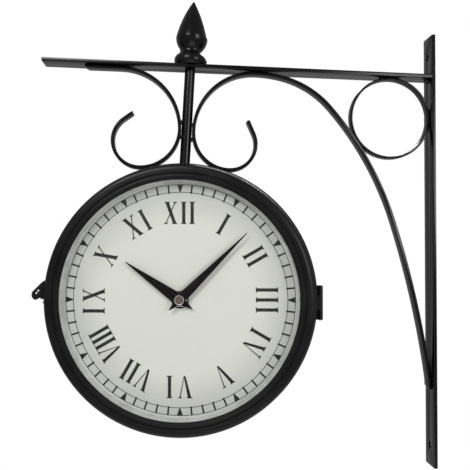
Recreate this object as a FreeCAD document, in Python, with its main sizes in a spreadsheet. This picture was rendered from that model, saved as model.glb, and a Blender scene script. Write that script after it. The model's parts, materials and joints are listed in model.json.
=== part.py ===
import FreeCAD, Part

import math
import os
import re

import Sketcher

from FreeCAD import Placement, Rotation, Vector

# Double sided station clock on a wall bracket, millimetres.
#
# Row frame: the wall is the plane X = 0 and the clock hangs on its -X side. +Z is up.
# The origin is on the back of the wall bar, midway between its two screw holes.
# The front dial looks along -Y, turned a little to the left on its stem.
#
# Face frame, used for everything in the case: its origin is the middle of the case,
# +Y comes out of the dial towards the reader, +Z is up and +X is to the reader's left.

os.makedirs("parts", exist_ok=True)
doc = FreeCAD.newDocument("StationClock")

# ---------------------------------------------------------------- driving sizes

SIZES = {
    # wall bracket, bent from flat bar
    "bar_width": 20.0,
    "bar_thick": 3.0,
    "wall_bar_length": 391.0,
    "screw_spacing": 354.0,
    "screw_hole_dia": 6.2,
    "arm_height": 156.4,
    "arm_reach": 349.0,
    "arm_slope": 1.1,
    "strip_width": 10.5,
    "strip_thick": 3.0,
    "touch_gap": 0.05,
    # long brace, which runs on into the right scroll
    "brace_crest_radius": 112.8,
    "brace_crest_turn": 12.0,
    "brace_shoulder_radius": 84.7,
    "brace_shoulder_turn": 35.5,
    "brace_knee_radius": 284.6,
    "brace_knee_turn": 23.6,
    "brace_shin_radius": 860.0,
    "brace_shin_turn": 9.7,
    "right_shoulder_radius": 55.8,
    "right_belly_radius": 33.8,
    "right_curl_radius": 24.6,
    "right_curl_turn": 114.0,
    "right_tip_run": 12.6,
    # left scroll
    "left_run": 29.0,
    "left_shoulder_radius": 53.8,
    "left_belly_radius": 36.5,
    "left_curl_radius": 24.9,
    "left_curl_turn": 145.0,
    "left_tip_run": 9.5,
    # hoop in the corner
    "hoop_radius": 37.6,
    "hoop_wall": 2.2,
    "hoop_width": 8.0,
    # hanging stem and its finial
    "stem_offset": 221.5,
    "stem_length": 86.6,
    "stem_lean": 3.2,
    "stem_radius": 4.6,
    "stud_radius": 3.0,
    "stud_grip": 12.0,
    "thread_clear": 0.05,
    "spigot_length": 13.0,
    "finial_height": 58.0,
    "finial_radius": 14.0,
    "finial_neck_radius": 9.9,
    "flange_radius": 14.5,
    "flange_height": 10.0,
    "bead_radius": 1.5,
    "bead_length": 8.0,
    # case
    "case_turn": 7.0,
    "case_radius": 112.0,
    "sheet_metal": 1.2,
    "drum_half": 28.0,
    "rim_radius": 114.8,
    "rim_width": 4.0,
    "boss_radius": 8.0,
    "boss_height": 3.0,
    "swivel_gap": 0.2,
    "nut_across": 10.0,
    "nut_height": 5.0,
    "washer_radius": 7.0,
    "washer_thick": 1.0,
    # bezel, the same pressing front and rear
    "bezel_radius": 112.8,
    "opening_radius": 99.4,
    "bezel_front": 42.5,
    "seam_gap": 0.3,
    "shoulder_radius": 5.0,
    "lip_width": 6.0,
    "glass_thick": 2.0,
    "glass_clear": 0.5,
    "dial_depth": 31.0,
    "dial_thick": 0.8,
    "dial_clear": 0.6,
    "track_radius": 96.2,
    "spacer_foot": 1.6,
    "retainer_width": 4.0,
    "retainer_thick": 1.6,
    "joint_wall": 1.2,
    "joint_depth": 8.0,
    # door hinge at three o'clock
    "hinge_height": 28.4,
    "hinge_drop": 2.3,
    "hinge_middle": 12.0,
    "knuckle_radius": 2.1,
    "hinge_pin_radius": 0.8,
    "hinge_stand": 2.2,
    "hinge_play": 0.05,
    "knuckle_gap": 0.2,
    "leaf_thick": 1.0,
    "leaf_length": 12.0,
    "rivet_radius": 1.5,
    "rivet_head": 0.9,
    # snap clasp at nine o'clock
    "clasp_height": 21.0,
    "clasp_rise": 5.0,
    "clasp_eye_width": 17.0,
    "clasp_lever_width": 9.0,
    "clasp_pin_radius": 0.8,
    "clasp_pin_stand": 7.0,
    "clasp_pin_depth": 15.0,
    "clasp_reach": 11.2,
    "keeper_height": 0.9,
    "keeper_width": 1.4,
    # quartz movement, one behind each dial
    "movement_size": 56.0,
    "movement_depth": 17.4,
    "movement_wall": 1.2,
    "cover_thick": 1.2,
    "bush_radius": 3.9,
    "bush_bore": 2.75,
    "dial_nut_across": 11.0,
    "dial_nut_height": 1.7,
    "dial_nut_flange": 7.3,
    "dial_nut_flange_height": 0.5,
    "hour_pipe_radius": 2.65,
    "hour_pipe_bore": 1.75,
    "minute_shaft_radius": 1.7,
    "hour_hand_height": 3.0,
    "minute_hand_height": 4.4,
    "hand_thick": 0.6,
    "cap_radius": 4.0,
    "cap_height": 2.0,
    "battery_radius": 7.15,
    "battery_length": 49.0,
    "knob_radius": 5.5,
    "knob_height": 2.6,
    "wheel_thick": 1.2,
    "wheel_centres": 9.0,
    "running_clear": 0.05,
    # hands, and the time they show
    "minute_hand_length": 79.0,
    "minute_tail": 12.1,
    "minute_width": 8.2,
    "hour_hand_length": 55.4,
    "hour_tail": 13.0,
    "hour_width": 9.6,
    "hub_radius": 5.0,
    "minute_angle": 45.3,
    "hour_angle": 304.8,
}

sheet = doc.addObject("Spreadsheet::Sheet", "sizes")
for row, (alias, value) in enumerate(SIZES.items(), start=1):
    sheet.set(f"A{row}", alias)
    sheet.set(f"B{row}", str(value))
    sheet.setAlias(f"B{row}", alias)
doc.recompute()


def size(alias):
    """A driving size, read back from the spreadsheet."""
    return float(getattr(sheet, alias))


def worked(formula):
    """The value of a formula over the spreadsheet's names, such as 'bar_width / 2'."""
    return float(sheet.evalExpression(formula))


def bound(formula):
    """The same formula as an expression that a document object can hold."""
    return re.sub(r"[a-z]\w*_\w+", lambda word: "sizes." + word.group(), formula)


# ---------------------------------------------------------------- small helpers

subparts = {}
IDENTITY = Placement()


def keep(node, item, place=IDENTITY):
    """Name one document object as a finished sub-part and put it in its place."""
    item.Label = node
    item.Placement = place.multiply(item.Placement)
    subparts[node] = item
    return item


def origin_plane(body, role):
    """One of a body's own origin planes."""
    return next(plane for plane in body.Origin.OriginFeatures if plane.Role == role)


def bound_outline(body, name, role, corners):
    """A closed outline whose corners are pairs of formulas, each held by its own distance."""
    sketch = body.newObject("Sketcher::SketchObject", name)
    sketch.AttachmentSupport = [(origin_plane(body, role), "")]
    sketch.MapMode = "FlatFace"
    points = [Vector(worked(across), worked(up), 0) for across, up in corners]
    count = len(points)
    for index in range(count):
        sketch.addGeometry(Part.LineSegment(points[index], points[(index + 1) % count]))
    for index in range(count):
        after = (index + 1) % count
        sketch.addConstraint(Sketcher.Constraint("Coincident", index, 2, after, 1))
    for index, (across, up) in enumerate(corners):
        point = points[index]
        for kind, value, formula in (("DistanceX", point.x, across), ("DistanceY", point.y, up)):
            number = sketch.addConstraint(Sketcher.Constraint(kind, -1, 1, index, 1, value))
            sketch.setExpression(f"Constraints[{number}]", bound(formula))
    return sketch


def turned(node, corners, place=IDENTITY, sweep="360"):
    """A lathe piece: corners are (radius, height along Y), turned about the Y axis."""
    body = doc.addObject("PartDesign::Body", node + "_body")
    sketch = bound_outline(body, node + "_profile", "XY_Plane", corners)
    ring = body.newObject("PartDesign::Revolution", node + "_turned")
    ring.Profile = sketch
    ring.ReferenceAxis = (sketch, ["V_Axis"])
    ring.Midplane = True
    ring.setExpression("Angle", bound(sweep))
    body.Tip = ring
    doc.recompute()
    return keep(node, body, place)


def box(name, length, width, height, corner, turn=None):
    """A block whose sides are formulas, centred on nothing: its corner is a plain vector."""
    block = doc.addObject("Part::Box", name)
    block.setExpression("Length", bound(length))
    block.setExpression("Width", bound(width))
    block.setExpression("Height", bound(height))
    block.Placement = Placement(corner, turn or Rotation())
    return block


def rod(name, radius, length, foot, turn=None):
    """A cylinder from 'foot' along its own Z, which 'turn' points another way."""
    item = doc.addObject("Part::Cylinder", name)
    item.setExpression("Radius", bound(radius))
    item.setExpression("Height", bound(length))
    item.Placement = Placement(foot, turn or Rotation())
    return item


def joined(name, *items):
    union = doc.addObject("Part::MultiFuse", name)
    union.Shapes = list(items)
    return union


def carved(name, base, *tools):
    cut = doc.addObject("Part::Cut", name)
    cut.Base = base
    cut.Tool = tools[0] if len(tools) == 1 else joined(name + "_tools", *tools)
    return cut


def coded(node, shape, place=IDENTITY):
    """A piece whose outline is a formula: its shape is worked out from the sheet here."""
    item = doc.addObject("Part::Feature", node)
    item.Shape = shape
    return keep(node, item, place)


ALONG_Y = Rotation(Vector(0, 0, 1), Vector(0, 1, 0))
ALONG_X = Rotation(Vector(0, 0, 1), Vector(1, 0, 0))
UPRIGHT = Rotation()

# ---------------------------------------------------------------- places on the bracket

slope = math.radians(size("arm_slope"))
lean = math.radians(size("stem_lean"))
thick = size("strip_thick")
gap = size("touch_gap")
wall_face = -size("bar_thick")


def underside(x):
    """Height of the arm's underside at x: the arm climbs away from the wall."""
    return size("arm_height") + (wall_face - x) * math.tan(slope)


arm_tilt = Rotation(Vector(0, 1, 0), math.degrees(slope))
arm_up = Vector(math.sin(slope), 0, math.cos(slope))
arm_corner = Vector(wall_face, 0, size("arm_height"))
stem_head = Vector(-size("stem_offset"), 0, underside(-size("stem_offset")))
stem_down = Vector(-math.sin(lean), 0, -math.cos(lean))
stem_foot = stem_head + stem_down * size("stem_length")
stem_tilt = Rotation(Vector(0, 0, 1), stem_down * -1)

case_centre = Vector(stem_foot.x, 0, stem_foot.z)
case_centre.z -= size("swivel_gap") + size("boss_height") + size("case_radius")
FRONT = Placement(case_centre, Rotation(Vector(0, 0, 1), 180 - size("case_turn")))
REAR = Placement(case_centre, Rotation(Vector(0, 0, 1), -size("case_turn")))
# the hinge is drawn on +X and then turned over to the reader's right
HINGE = FRONT.multiply(Placement(Vector(), Rotation(Vector(0, 1, 0), 180)))


# ---------------------------------------------------------------- bent strips

def heading(angle):
    return Vector(math.cos(angle), 0, math.sin(angle))


def left_of(angle):
    return Vector(-math.sin(angle), 0, math.cos(angle))


def bend_path(start, angle, moves):
    """Follow runs and bends from a start; each move is (length,) or (radius, turn in degrees)."""
    steps = []
    point = start
    for move in moves:
        if len(move) == 1:
            end = point + heading(angle) * move[0]
            steps.append((point, None, end, angle, angle, 0.0))
            point = end
            continue
        radius, turn = move[0], math.radians(move[1])
        side = math.copysign(1.0, turn)
        centre = point + left_of(angle) * (radius * side)
        after = angle + turn
        end = centre - left_of(after) * (radius * side)
        steps.append((point, centre, end, angle, after, radius * side))
        point = end
        angle = after
    return steps, point, angle


def strip_edge(step, offset):
    """The edge of one step of a path, moved sideways by offset."""
    start, centre, end, before, after, _ = step
    first = start + left_of(before) * offset
    last = end + left_of(after) * offset
    if centre is None:
        return Part.makeLine(first, last)
    half = (before + after) / 2
    radius = (first - centre).Length
    outward = 1.0 if (first - centre).dot(left_of(before)) > 0 else -1.0
    middle = centre + left_of(half) * (radius * outward)
    return Part.Arc(first, middle, last).toShape()


def strip_solid(steps, thickness, width):
    """A flat strip on edge along a path, its width centred on the bracket's plane."""
    half = thickness / 2
    one_side = [strip_edge(step, half) for step in steps]
    other = [strip_edge(step, -half) for step in steps]
    first, last = steps[0], steps[-1]
    head = Part.makeLine(first[0] + left_of(first[3]) * half, first[0] - left_of(first[3]) * half)
    tail = Part.makeLine(last[2] + left_of(last[4]) * half, last[2] - left_of(last[4]) * half)
    outline = Part.Wire(Part.__sortEdges__(one_side + other + [head, tail]))
    face = Part.Face(outline)
    face.translate(Vector(0, -width / 2, 0))
    return face.extrude(Vector(0, width, 0))


# the strips lie against the arm's underside, a hair away from it
strip_drop = thick / 2 + gap


def stem_x(z):
    """The stem's axis at a height."""
    return stem_head.x + (z - stem_head.z) * math.tan(lean)


# --- left scroll: a run under the arm, over the shoulder, down the stem, up in a curl
# and out in a short straight tip.
# The stem leans towards it, so its belly is the part that touches.
left_bend = size("left_shoulder_radius") - thick / 2
left_height = stem_head.z - size("left_shoulder_radius")
stem_reach = (size("left_belly_radius") + size("stem_radius") + gap) / math.cos(lean)
left_touch = stem_x(left_height) - stem_reach + size("left_belly_radius") - thick / 2
left_start_x = left_touch - left_bend * (1 - math.sin(slope)) - size("left_run") * math.cos(slope)
left_start = Vector(left_start_x, 0, underside(left_start_x) - strip_drop / math.cos(slope))
quarter = 90.0
left_steps, _, _ = bend_path(left_start, -slope, [
    (size("left_run"),),
    (left_bend, -(quarter - size("arm_slope"))),
    (size("left_belly_radius") - thick / 2, -quarter),
    (size("left_curl_radius") - thick / 2, -size("left_curl_turn")),
    (size("left_tip_run"),),
])
left_scroll = coded("left_scroll", strip_solid(left_steps, thick, size("strip_width")))

# --- right scroll and long brace: one strip, followed both ways from its highest point.
# The stem leans away from it, so its shoulder is the part that touches.
right_height = stem_head.z - size("right_shoulder_radius")
stem_reach = (size("right_shoulder_radius") + size("stem_radius") + gap) / math.cos(lean)
right_touch = stem_x(right_height) + stem_reach - size("right_shoulder_radius") + thick / 2
crest_x = right_touch + (size("right_shoulder_radius") - thick / 2) * (1 + math.sin(slope))
crest = Vector(crest_x, 0, underside(crest_x) - strip_drop / math.cos(slope))
curl_steps, _, _ = bend_path(crest, math.pi - slope, [
    (size("right_shoulder_radius") - thick / 2, quarter + size("arm_slope")),
    (size("right_belly_radius") - thick / 2, quarter),
    (size("right_curl_radius") - thick / 2, size("right_curl_turn")),
    (size("right_tip_run"),),
])

# the brace opens out in four bends and a fifth brings it upright against the wall bar
brace_moves = [
    (size(f"brace_{part}_radius"), -size(f"brace_{part}_turn"))
    for part in ("crest", "shoulder", "knee", "shin")
]
_, shin_end, shin_heading = bend_path(crest, -slope, brace_moves)
foot_turn = math.pi / 2 + shin_heading
foot_reach = wall_face - gap - thick / 2 - shin_end.x
foot_radius = foot_reach / (1 - math.cos(foot_turn))
brace_moves.append((foot_radius, -math.degrees(foot_turn)))
brace_steps, brace_foot, _ = bend_path(crest, -slope, brace_moves)
curl = strip_solid(curl_steps, thick, size("strip_width"))
leg = strip_solid(brace_steps, thick, size("strip_width"))
brace_scroll = coded("brace_scroll", curl.fuse(leg).removeSplitter())

# --- hoop: as large as the corner between wall bar, arm and brace lets it be
brace_line = Part.Wire([strip_edge(step, 0.0) for step in brace_steps])


def hoop_place(radius):
    """Centre of a hoop of this radius that touches the wall bar and the arm."""
    x = wall_face - gap - radius
    return Vector(x, 0, underside(x) - (radius + gap) / math.cos(slope))


def brace_room(radius):
    """Space left between such a hoop and the brace."""
    reach = Part.Vertex(hoop_place(radius)).distToShape(brace_line)[0]
    return reach - thick / 2 - gap - radius


small, large = 20.0, 60.0
for _ in range(40):
    middle_radius = (small + large) / 2
    if brace_room(middle_radius) > 0:
        small = middle_radius
    else:
        large = middle_radius
sheet.set("B%d" % (list(SIZES).index("hoop_radius") + 1), "%.4f" % small)
doc.recompute()
hoop_centre = hoop_place(size("hoop_radius"))
hoop_x, hoop_z = hoop_centre.x, hoop_centre.z
touch_point = Part.Vertex(hoop_centre).distToShape(brace_line)[1][0][1]
print("foot radius %.1f, foot at z %.1f, hoop radius %.2f at z %.1f"
      % (foot_radius, brace_foot.z, size("hoop_radius"), hoop_z))
turned("corner_hoop", [
    ("hoop_radius - hoop_wall", "-hoop_width / 2"),
    ("hoop_radius", "-hoop_width / 2"),
    ("hoop_radius", "hoop_width / 2"),
    ("hoop_radius - hoop_wall", "hoop_width / 2"),
], Placement(hoop_centre, Rotation()))

# ---------------------------------------------------------------- wall bar and arm

bar_blank = box("wall_bar_blank", "bar_thick", "bar_width", "wall_bar_length",
                Vector(wall_face, -size("bar_width") / 2, -size("wall_bar_length") / 2))
screw_holes = [
    rod(f"screw_hole_{end}", "screw_hole_dia / 2", "bar_thick * 3",
        Vector(2 * wall_face, 0, side * size("screw_spacing") / 2), ALONG_X)
    for end, side in (("top", 1), ("bottom", -1))
]
keep("wall_bar", carved("wall_bar_cut", bar_blank, *screw_holes))

arm_length = (size("arm_reach") + wall_face) / math.cos(slope)
arm_blank = doc.addObject("Part::Box", "arm_blank")
arm_blank.setExpression("Length", bound("(arm_reach - bar_thick) / cos(arm_slope * 1deg) + bar_thick"))
arm_blank.setExpression("Width", bound("bar_width"))
arm_blank.setExpression("Height", bound("bar_thick"))
arm_blank.Placement = Placement(
    arm_corner - Vector(math.cos(slope), 0, -math.sin(slope)) * arm_length
    - Vector(0, size("bar_width") / 2, 0), arm_tilt)
arm_trim = box("arm_trim", "bar_thick * 4", "bar_width * 2", "bar_thick * 12",
               Vector(wall_face, -size("bar_width"), size("arm_height") - 4 * size("bar_thick")))
arm_stud_hole = rod("arm_stud_hole", "stud_radius + 2 * thread_clear", "bar_thick * 6",
                    stem_head + stem_down * (2 * size("bar_thick")), stem_tilt)
keep("arm_bar", carved("arm_bar_cut", arm_blank, arm_trim, arm_stud_hole))

# ---------------------------------------------------------------- stem, stud and finial

block_side = size("bar_width") * 4
above_arm = Part.makeBox(block_side, block_side, block_side,
                         Vector(-block_side / 2, -block_side / 2, 0))
above_arm.Placement = Placement(stem_head, arm_tilt)
below_top = Part.makeBox(block_side, block_side, block_side,
                         Vector(-block_side / 2, -block_side / 2, -block_side))
below_top.Placement = Placement(stem_head + arm_up * size("bar_thick"), arm_tilt)

# the tube is drawn a little long and trimmed against the sloping underside
overlap = size("bar_thick")
tube_top = stem_head - stem_down * overlap
tube = Part.makeCylinder(size("stem_radius"), size("stem_length") + overlap, tube_top, stem_down)
elbow = Part.makeSphere(size("stem_radius"), stem_foot + Vector(0, 0, size("stem_radius") / 2))
collar = Part.makeCylinder(size("stem_radius"), size("stem_radius") / 2, stem_foot)
spigot = Part.makeCylinder(size("stud_radius"), size("spigot_length"),
                           stem_foot - Vector(0, 0, size("spigot_length")))
thread_bore = Part.makeCylinder(size("stud_radius") + size("thread_clear"),
                                size("stud_grip") + overlap, tube_top, stem_down)
below_foot = Part.makeBox(block_side, block_side, block_side,
                          stem_foot - Vector(block_side / 2, block_side / 2, block_side))
shaft = tube.fuse([elbow, collar]).cut(below_foot).cut(above_arm)
stem_shape = shaft.fuse(spigot).cut(thread_bore)
coded("stem", stem_shape.removeSplitter())

stud_top = stem_head - stem_down * (size("stud_grip") + size("bar_thick"))
stud_length = 2 * size("stud_grip") + size("bar_thick") - 1.0
stud_start = stud_top + stem_down * 0.5
keep("finial_stud", rod("finial_stud_rod", "stud_radius",
                        "2 * stud_grip + bar_thick - 1", stud_start + stem_down * stud_length,
                        stem_tilt))


def finial_profile():
    """Half outline of the cast bud: (radius, height) from the flange to the point."""
    bud, neck = size("finial_radius"), size("finial_neck_radius")
    rim, foot, tall = size("flange_radius"), size("flange_height"), size("finial_height")
    edges = []

    def line(a, b):
        edges.append(Part.makeLine(Vector(a[0], 0, a[1]), Vector(b[0], 0, b[1])))

    def arc(a, b, c):
        points = [Vector(p[0], 0, p[1]) for p in (a, b, c)]
        edges.append(Part.Arc(*points).toShape())

    below = -size("bar_thick")
    base = rim * 0.86
    waist_low = (neck + 1.4, foot)
    waist_high = (neck + 1.2, foot + (tall - foot) * 0.13)
    belly_at = foot + (tall - foot) * 0.32
    line((0, below), (base, below))
    line((base, below), (base, 0))
    arc((base, 0), (rim, foot * 0.5), waist_low)
    arc(waist_low, (neck, (waist_low[1] + waist_high[1]) / 2), waist_high)
    arc(waist_high, (bud * 0.955, (waist_high[1] + belly_at) / 2), (bud, belly_at))
    # the point is rounded by a ball centred on the axis
    ball, spread = 1.2, math.radians(60)
    tip = (ball * math.sin(spread), tall - ball + ball * math.cos(spread))
    tip_middle = (ball * math.sin(spread / 2), tall - ball + ball * math.cos(spread / 2))
    arc((bud, belly_at), (bud * 0.68, tall * 0.70), tip)
    arc(tip, tip_middle, (0, tall))
    line((0, tall), (0, below))
    return Part.Face(Part.Wire(edges))


finial_blank = finial_profile().revolve(Vector(), Vector(0, 0, 1), 360)
finial_seat = stem_head - stem_down * size("bar_thick")
finial_blank.Placement = Placement(finial_seat, stem_tilt)
finial_bore = Part.makeCylinder(size("stud_radius") + size("thread_clear"),
                                size("stud_grip") + overlap, finial_seat + stem_down * overlap,
                                stem_down * -1)
finial_shape = Part.Solid(finial_blank) if finial_blank.ShapeType != "Solid" else finial_blank
coded("finial", finial_shape.cut(below_top).cut(finial_bore))

# ---------------------------------------------------------------- weld beads

bracket_metal = [subparts[n] for n in ("left_scroll", "brace_scroll", "corner_hoop",
                                       "wall_bar", "arm_bar", "stem")]
doc.recompute()


def bead(x, z, radius=None, length=None):
    """A bead of weld laid along Y in the notch between two bars."""
    radius = radius or size("bead_radius")
    length = length or size("bead_length")
    return Part.makeCylinder(radius, length, Vector(x, -length / 2, z), Vector(0, 1, 0))


notch = size("bead_radius") * 2.2
bar_notch = size("bead_radius") * 1.6
inward = (hoop_centre - touch_point).normalize()
along = Vector(-inward.z, 0, inward.x)
weld_place = touch_point + inward * (thick / 2)
bead_spots = [
    (wall_face - bar_notch / 3, underside(wall_face) - bar_notch / 3),
    (wall_face - bar_notch / 3, underside(wall_face) + size("bar_thick") + bar_notch / 3),
    (hoop_x - 2 * notch, underside(hoop_x - 2 * notch) - bar_notch / 3),
    (hoop_x + 2 * notch, underside(hoop_x + 2 * notch) - bar_notch / 3),
    (wall_face - bar_notch / 3, hoop_z + 2 * notch),
    (wall_face - bar_notch / 3, hoop_z - 2 * notch),
    (weld_place.x - along.x * 2 * notch, weld_place.z - along.z * 2 * notch),
    (weld_place.x + along.x * 2 * notch, weld_place.z + along.z * 2 * notch),
    (wall_face - bar_notch / 3, brace_foot.z - bar_notch / 3),
    (left_touch + thick / 2 + 0.4, left_height + 2 * notch),
    (left_touch + thick / 2 + 0.4, left_height - 2 * notch),
    (right_touch - thick / 2 - 0.4, right_height + 2 * notch),
    (right_touch - thick / 2 - 0.4, right_height - 2 * notch),
    (left_start_x - bar_notch / 3, underside(left_start_x) - bar_notch / 3),
    (crest_x, underside(crest_x) - 0.02),
]
beads = []
for spot_x, spot_z in bead_spots[:-1]:
    lump = bead(spot_x, spot_z)
    for metal in bracket_metal:
        lump = lump.cut(metal.Shape)
    solids = sorted(lump.Solids, key=lambda solid: solid.Volume)
    if solids:
        beads.append(solids[-1])
coded("weld_beads", Part.makeCompound(beads))

# ---------------------------------------------------------------- case drum

turned("drum", [
    ("case_radius - sheet_metal", "-drum_half"),
    ("rim_radius - 0.8", "-drum_half"),
    ("rim_radius", "-drum_half + 0.8"),
    ("rim_radius", "-drum_half + rim_width - 0.8"),
    ("rim_radius - 0.8", "-drum_half + rim_width"),
    ("case_radius", "-drum_half + rim_width"),
    ("case_radius", "drum_half - rim_width"),
    ("rim_radius - 0.8", "drum_half - rim_width"),
    ("rim_radius", "drum_half - rim_width + 0.8"),
    ("rim_radius", "drum_half - 0.8"),
    ("rim_radius - 0.8", "drum_half"),
    ("case_radius - sheet_metal", "drum_half"),
])
drum_body = subparts.pop("drum")
drum_body.Label = "drum_blank"
drum_bore = rod("drum_spigot_hole", "stud_radius + hinge_play", "4 * boss_height",
                Vector(0, 0, size("case_radius") - 2 * size("boss_height")))
keep("drum", carved("drum_cut", drum_body, drum_bore), FRONT)

# boss on the crown of the drum, saddled to its curve
boss_blank = rod("boss_blank", "boss_radius", "2 * boss_height",
                 Vector(0, 0, size("case_radius") - size("boss_height")))
boss_bore = rod("boss_bore", "stud_radius + hinge_play", "4 * boss_height",
                Vector(0, 0, size("case_radius") - 2 * size("boss_height")))
saddle = rod("boss_saddle", "case_radius", "2 * drum_half",
             Vector(0, -size("drum_half"), 0), ALONG_Y)
keep("drum_boss", carved("drum_boss_cut", boss_blank, boss_bore, saddle), FRONT)

# washer and nut on the spigot, inside the drum; they stay with the stem
inner_crown = case_centre.z + size("case_radius") - size("sheet_metal")
washer_drop = size("case_radius") - size("sheet_metal")
washer_sag = washer_drop - math.sqrt(washer_drop ** 2 - size("washer_radius") ** 2)
washer_top = inner_crown - size("swivel_gap") - washer_sag
washer_blank = rod("swivel_washer_blank", "washer_radius", "washer_thick",
                   Vector(case_centre.x, 0, washer_top - size("washer_thick")))
washer_bore = rod("swivel_washer_bore", "stud_radius + thread_clear", "3 * washer_thick",
                  Vector(case_centre.x, 0, washer_top - 2 * size("washer_thick")))
keep("swivel_washer", carved("swivel_washer_cut", washer_blank, washer_bore))

nut_blank = doc.addObject("Part::Prism", "swivel_nut_blank")
nut_blank.Polygon = 6
nut_blank.setExpression("Circumradius", bound("nut_across / sqrt(3)"))
nut_blank.setExpression("Height", bound("nut_height"))
nut_foot = washer_top - size("washer_thick") - size("nut_height")
nut_blank.Placement = Placement(Vector(case_centre.x, 0, nut_foot), Rotation())
nut_bore = rod("swivel_nut_bore", "stud_radius + thread_clear", "nut_height * 2",
               Vector(case_centre.x, 0, nut_foot - size("nut_height") / 2))
keep("swivel_nut", carved("swivel_nut_cut", nut_blank, nut_bore))

# ---------------------------------------------------------------- faces of the case

SEAM = "drum_half + seam_gap"
GLASS_BACK = "bezel_front - 2 - glass_thick"
INNER = "bezel_radius - sheet_metal"


def bezel(node, place, seam):
    """Pressed bezel: lip, bright inner slope, groove, round shoulder and side wall."""
    lip = "opening_radius"
    turned(node, [
        (lip, "bezel_front - 2"),
        (lip, "bezel_front - 1.3"),
        (f"{lip} + 0.3", "bezel_front - 1"),
        (f"{lip} + 3.4", "bezel_front - 0.1"),
        (f"{lip} + 4", "bezel_front - 0.2"),
        (f"{lip} + 4.5", "bezel_front - 1"),
        (f"{lip} + 5.6", "bezel_front - 1"),
        (f"{lip} + 6.1", "bezel_front - 0.2"),
        (f"{lip} + 6.7", "bezel_front"),
        ("bezel_radius - shoulder_radius * 0.866", "bezel_front - shoulder_radius * 0.02"),
        ("bezel_radius - shoulder_radius * 0.5", "bezel_front - shoulder_radius * 0.134"),
        ("bezel_radius - shoulder_radius * 0.234", "bezel_front - shoulder_radius * 0.357"),
        ("bezel_radius - shoulder_radius * 0.06", "bezel_front - shoulder_radius * 0.66"),
        ("bezel_radius", "bezel_front - shoulder_radius"),
        ("bezel_radius", seam),
        (INNER, seam),
        (INNER, "bezel_front - shoulder_radius"),
        ("bezel_radius - shoulder_radius * 0.5 - 0.6", "bezel_front - shoulder_radius * 0.134 - 1.04"),
        (f"{lip} + 6.7", "bezel_front - sheet_metal"),
        (f"{lip} + 6.3", "bezel_front - 2"),
    ], place)


def rivets(node, spots, place):
    """Dome-headed rivets: each spot is (angle about the case axis, height y, radius seated at)."""
    heads = []
    head, rise = size("rivet_radius"), size("rivet_head")
    ball = (head ** 2 + rise ** 2) / (2 * rise)
    for angle, height, seat in spots:
        out = Vector(math.cos(angle), 0, math.sin(angle))
        foot = out * seat + Vector(0, height, 0)
        dome = Part.makeSphere(ball, foot - out * (ball - rise))
        column = Part.makeCylinder(head, 2 * rise, foot, out)
        heads.append(dome.common(column))
    coded(node, Part.makeCompound(heads), place)


def face_furniture(side, place, seam):
    """Bezel, glass, spacer ring, dial and retaining ring of one face."""
    bezel(f"{side}_bezel", place, seam)
    turned(f"{side}_glass", [
        ("0", GLASS_BACK),
        ("opening_radius + lip_width - glass_clear", GLASS_BACK),
        ("opening_radius + lip_width - glass_clear", "bezel_front - 2"),
        ("0", "bezel_front - 2"),
    ], place)
    turned(f"{side}_spacer_ring", [
        ("track_radius + spacer_foot", "dial_depth"),
        ("opening_radius + lip_width - glass_clear", "dial_depth"),
        ("opening_radius + lip_width - glass_clear", GLASS_BACK),
        ("opening_radius + 1", GLASS_BACK),
    ], place)
    turned(f"{side}_dial", [
        ("bush_radius + 0.1", "dial_depth - dial_thick"),
        (f"{INNER} - dial_clear", "dial_depth - dial_thick"),
        (f"{INNER} - dial_clear", "dial_depth"),
        ("bush_radius + 0.1", "dial_depth"),
    ], place)
    turned(f"{side}_retaining_ring", [
        (f"{INNER} - 0.1 - retainer_width", "dial_depth - dial_thick - retainer_thick"),
        (f"{INNER} - 0.1", "dial_depth - dial_thick - retainer_thick"),
        (f"{INNER} - 0.1", "dial_depth - dial_thick"),
        (f"{INNER} - 0.1 - retainer_width", "dial_depth - dial_thick"),
    ], place)


face_furniture("front", FRONT, SEAM)
face_furniture("rear", REAR, "drum_half")

# the rear bezel is fixed: a stepped ring inside joins it to the drum
DRUM_BORE = "case_radius - sheet_metal"
turned("rear_joint_ring", [
    (f"{DRUM_BORE} - joint_wall", "drum_half - joint_depth"),
    (DRUM_BORE, "drum_half - joint_depth"),
    (DRUM_BORE, "drum_half"),
    (INNER, "drum_half"),
    (INNER, "dial_depth - dial_thick - retainer_thick"),
    (f"{DRUM_BORE} - joint_wall", "dial_depth - dial_thick - retainer_thick"),
], REAR)

# ---------------------------------------------------------------- door hinge

PIN_R = "max(rim_radius; bezel_radius) + hinge_stand"
pin_r = worked(PIN_R)
pin_y = size("drum_half") + size("seam_gap") / 2
middle = size("hinge_middle")
knuckle = size("knuckle_radius")
swing_clear = knuckle + 2 * size("knuckle_gap")


hinge_mid = size("hinge_drop")


def upright(radius, low, high, x=pin_r, y=pin_y):
    return Part.makeCylinder(radius, high - low, Vector(x, y, low))


def sector(points, low, high):
    """A rolled plate: its section turned about the case axis between two heights."""
    outline = [Vector(r, y, 0) for r, y in points]
    face = Part.Face(Part.makePolygon(outline + outline[:1]))
    first, last = (math.degrees(math.asin(z / size("rim_radius"))) for z in (low, high))
    shape = face.revolve(Vector(), Vector(0, 1, 0), last - first)
    shape.rotate(Vector(), Vector(0, 1, 0), -last)
    return shape


hinge_low = hinge_mid - size("hinge_height") / 2
hinge_high = hinge_mid + size("hinge_height") / 2
middle_low, middle_high = hinge_mid - middle / 2, hinge_mid + middle / 2
slit = size("knuckle_gap")
leaf = size("leaf_thick")
hole = size("hinge_pin_radius") + size("hinge_play")
rim, body_r, door_r = size("rim_radius"), size("case_radius"), size("bezel_radius")
rim_back = size("drum_half") - size("rim_width")
seat = 0.02

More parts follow.
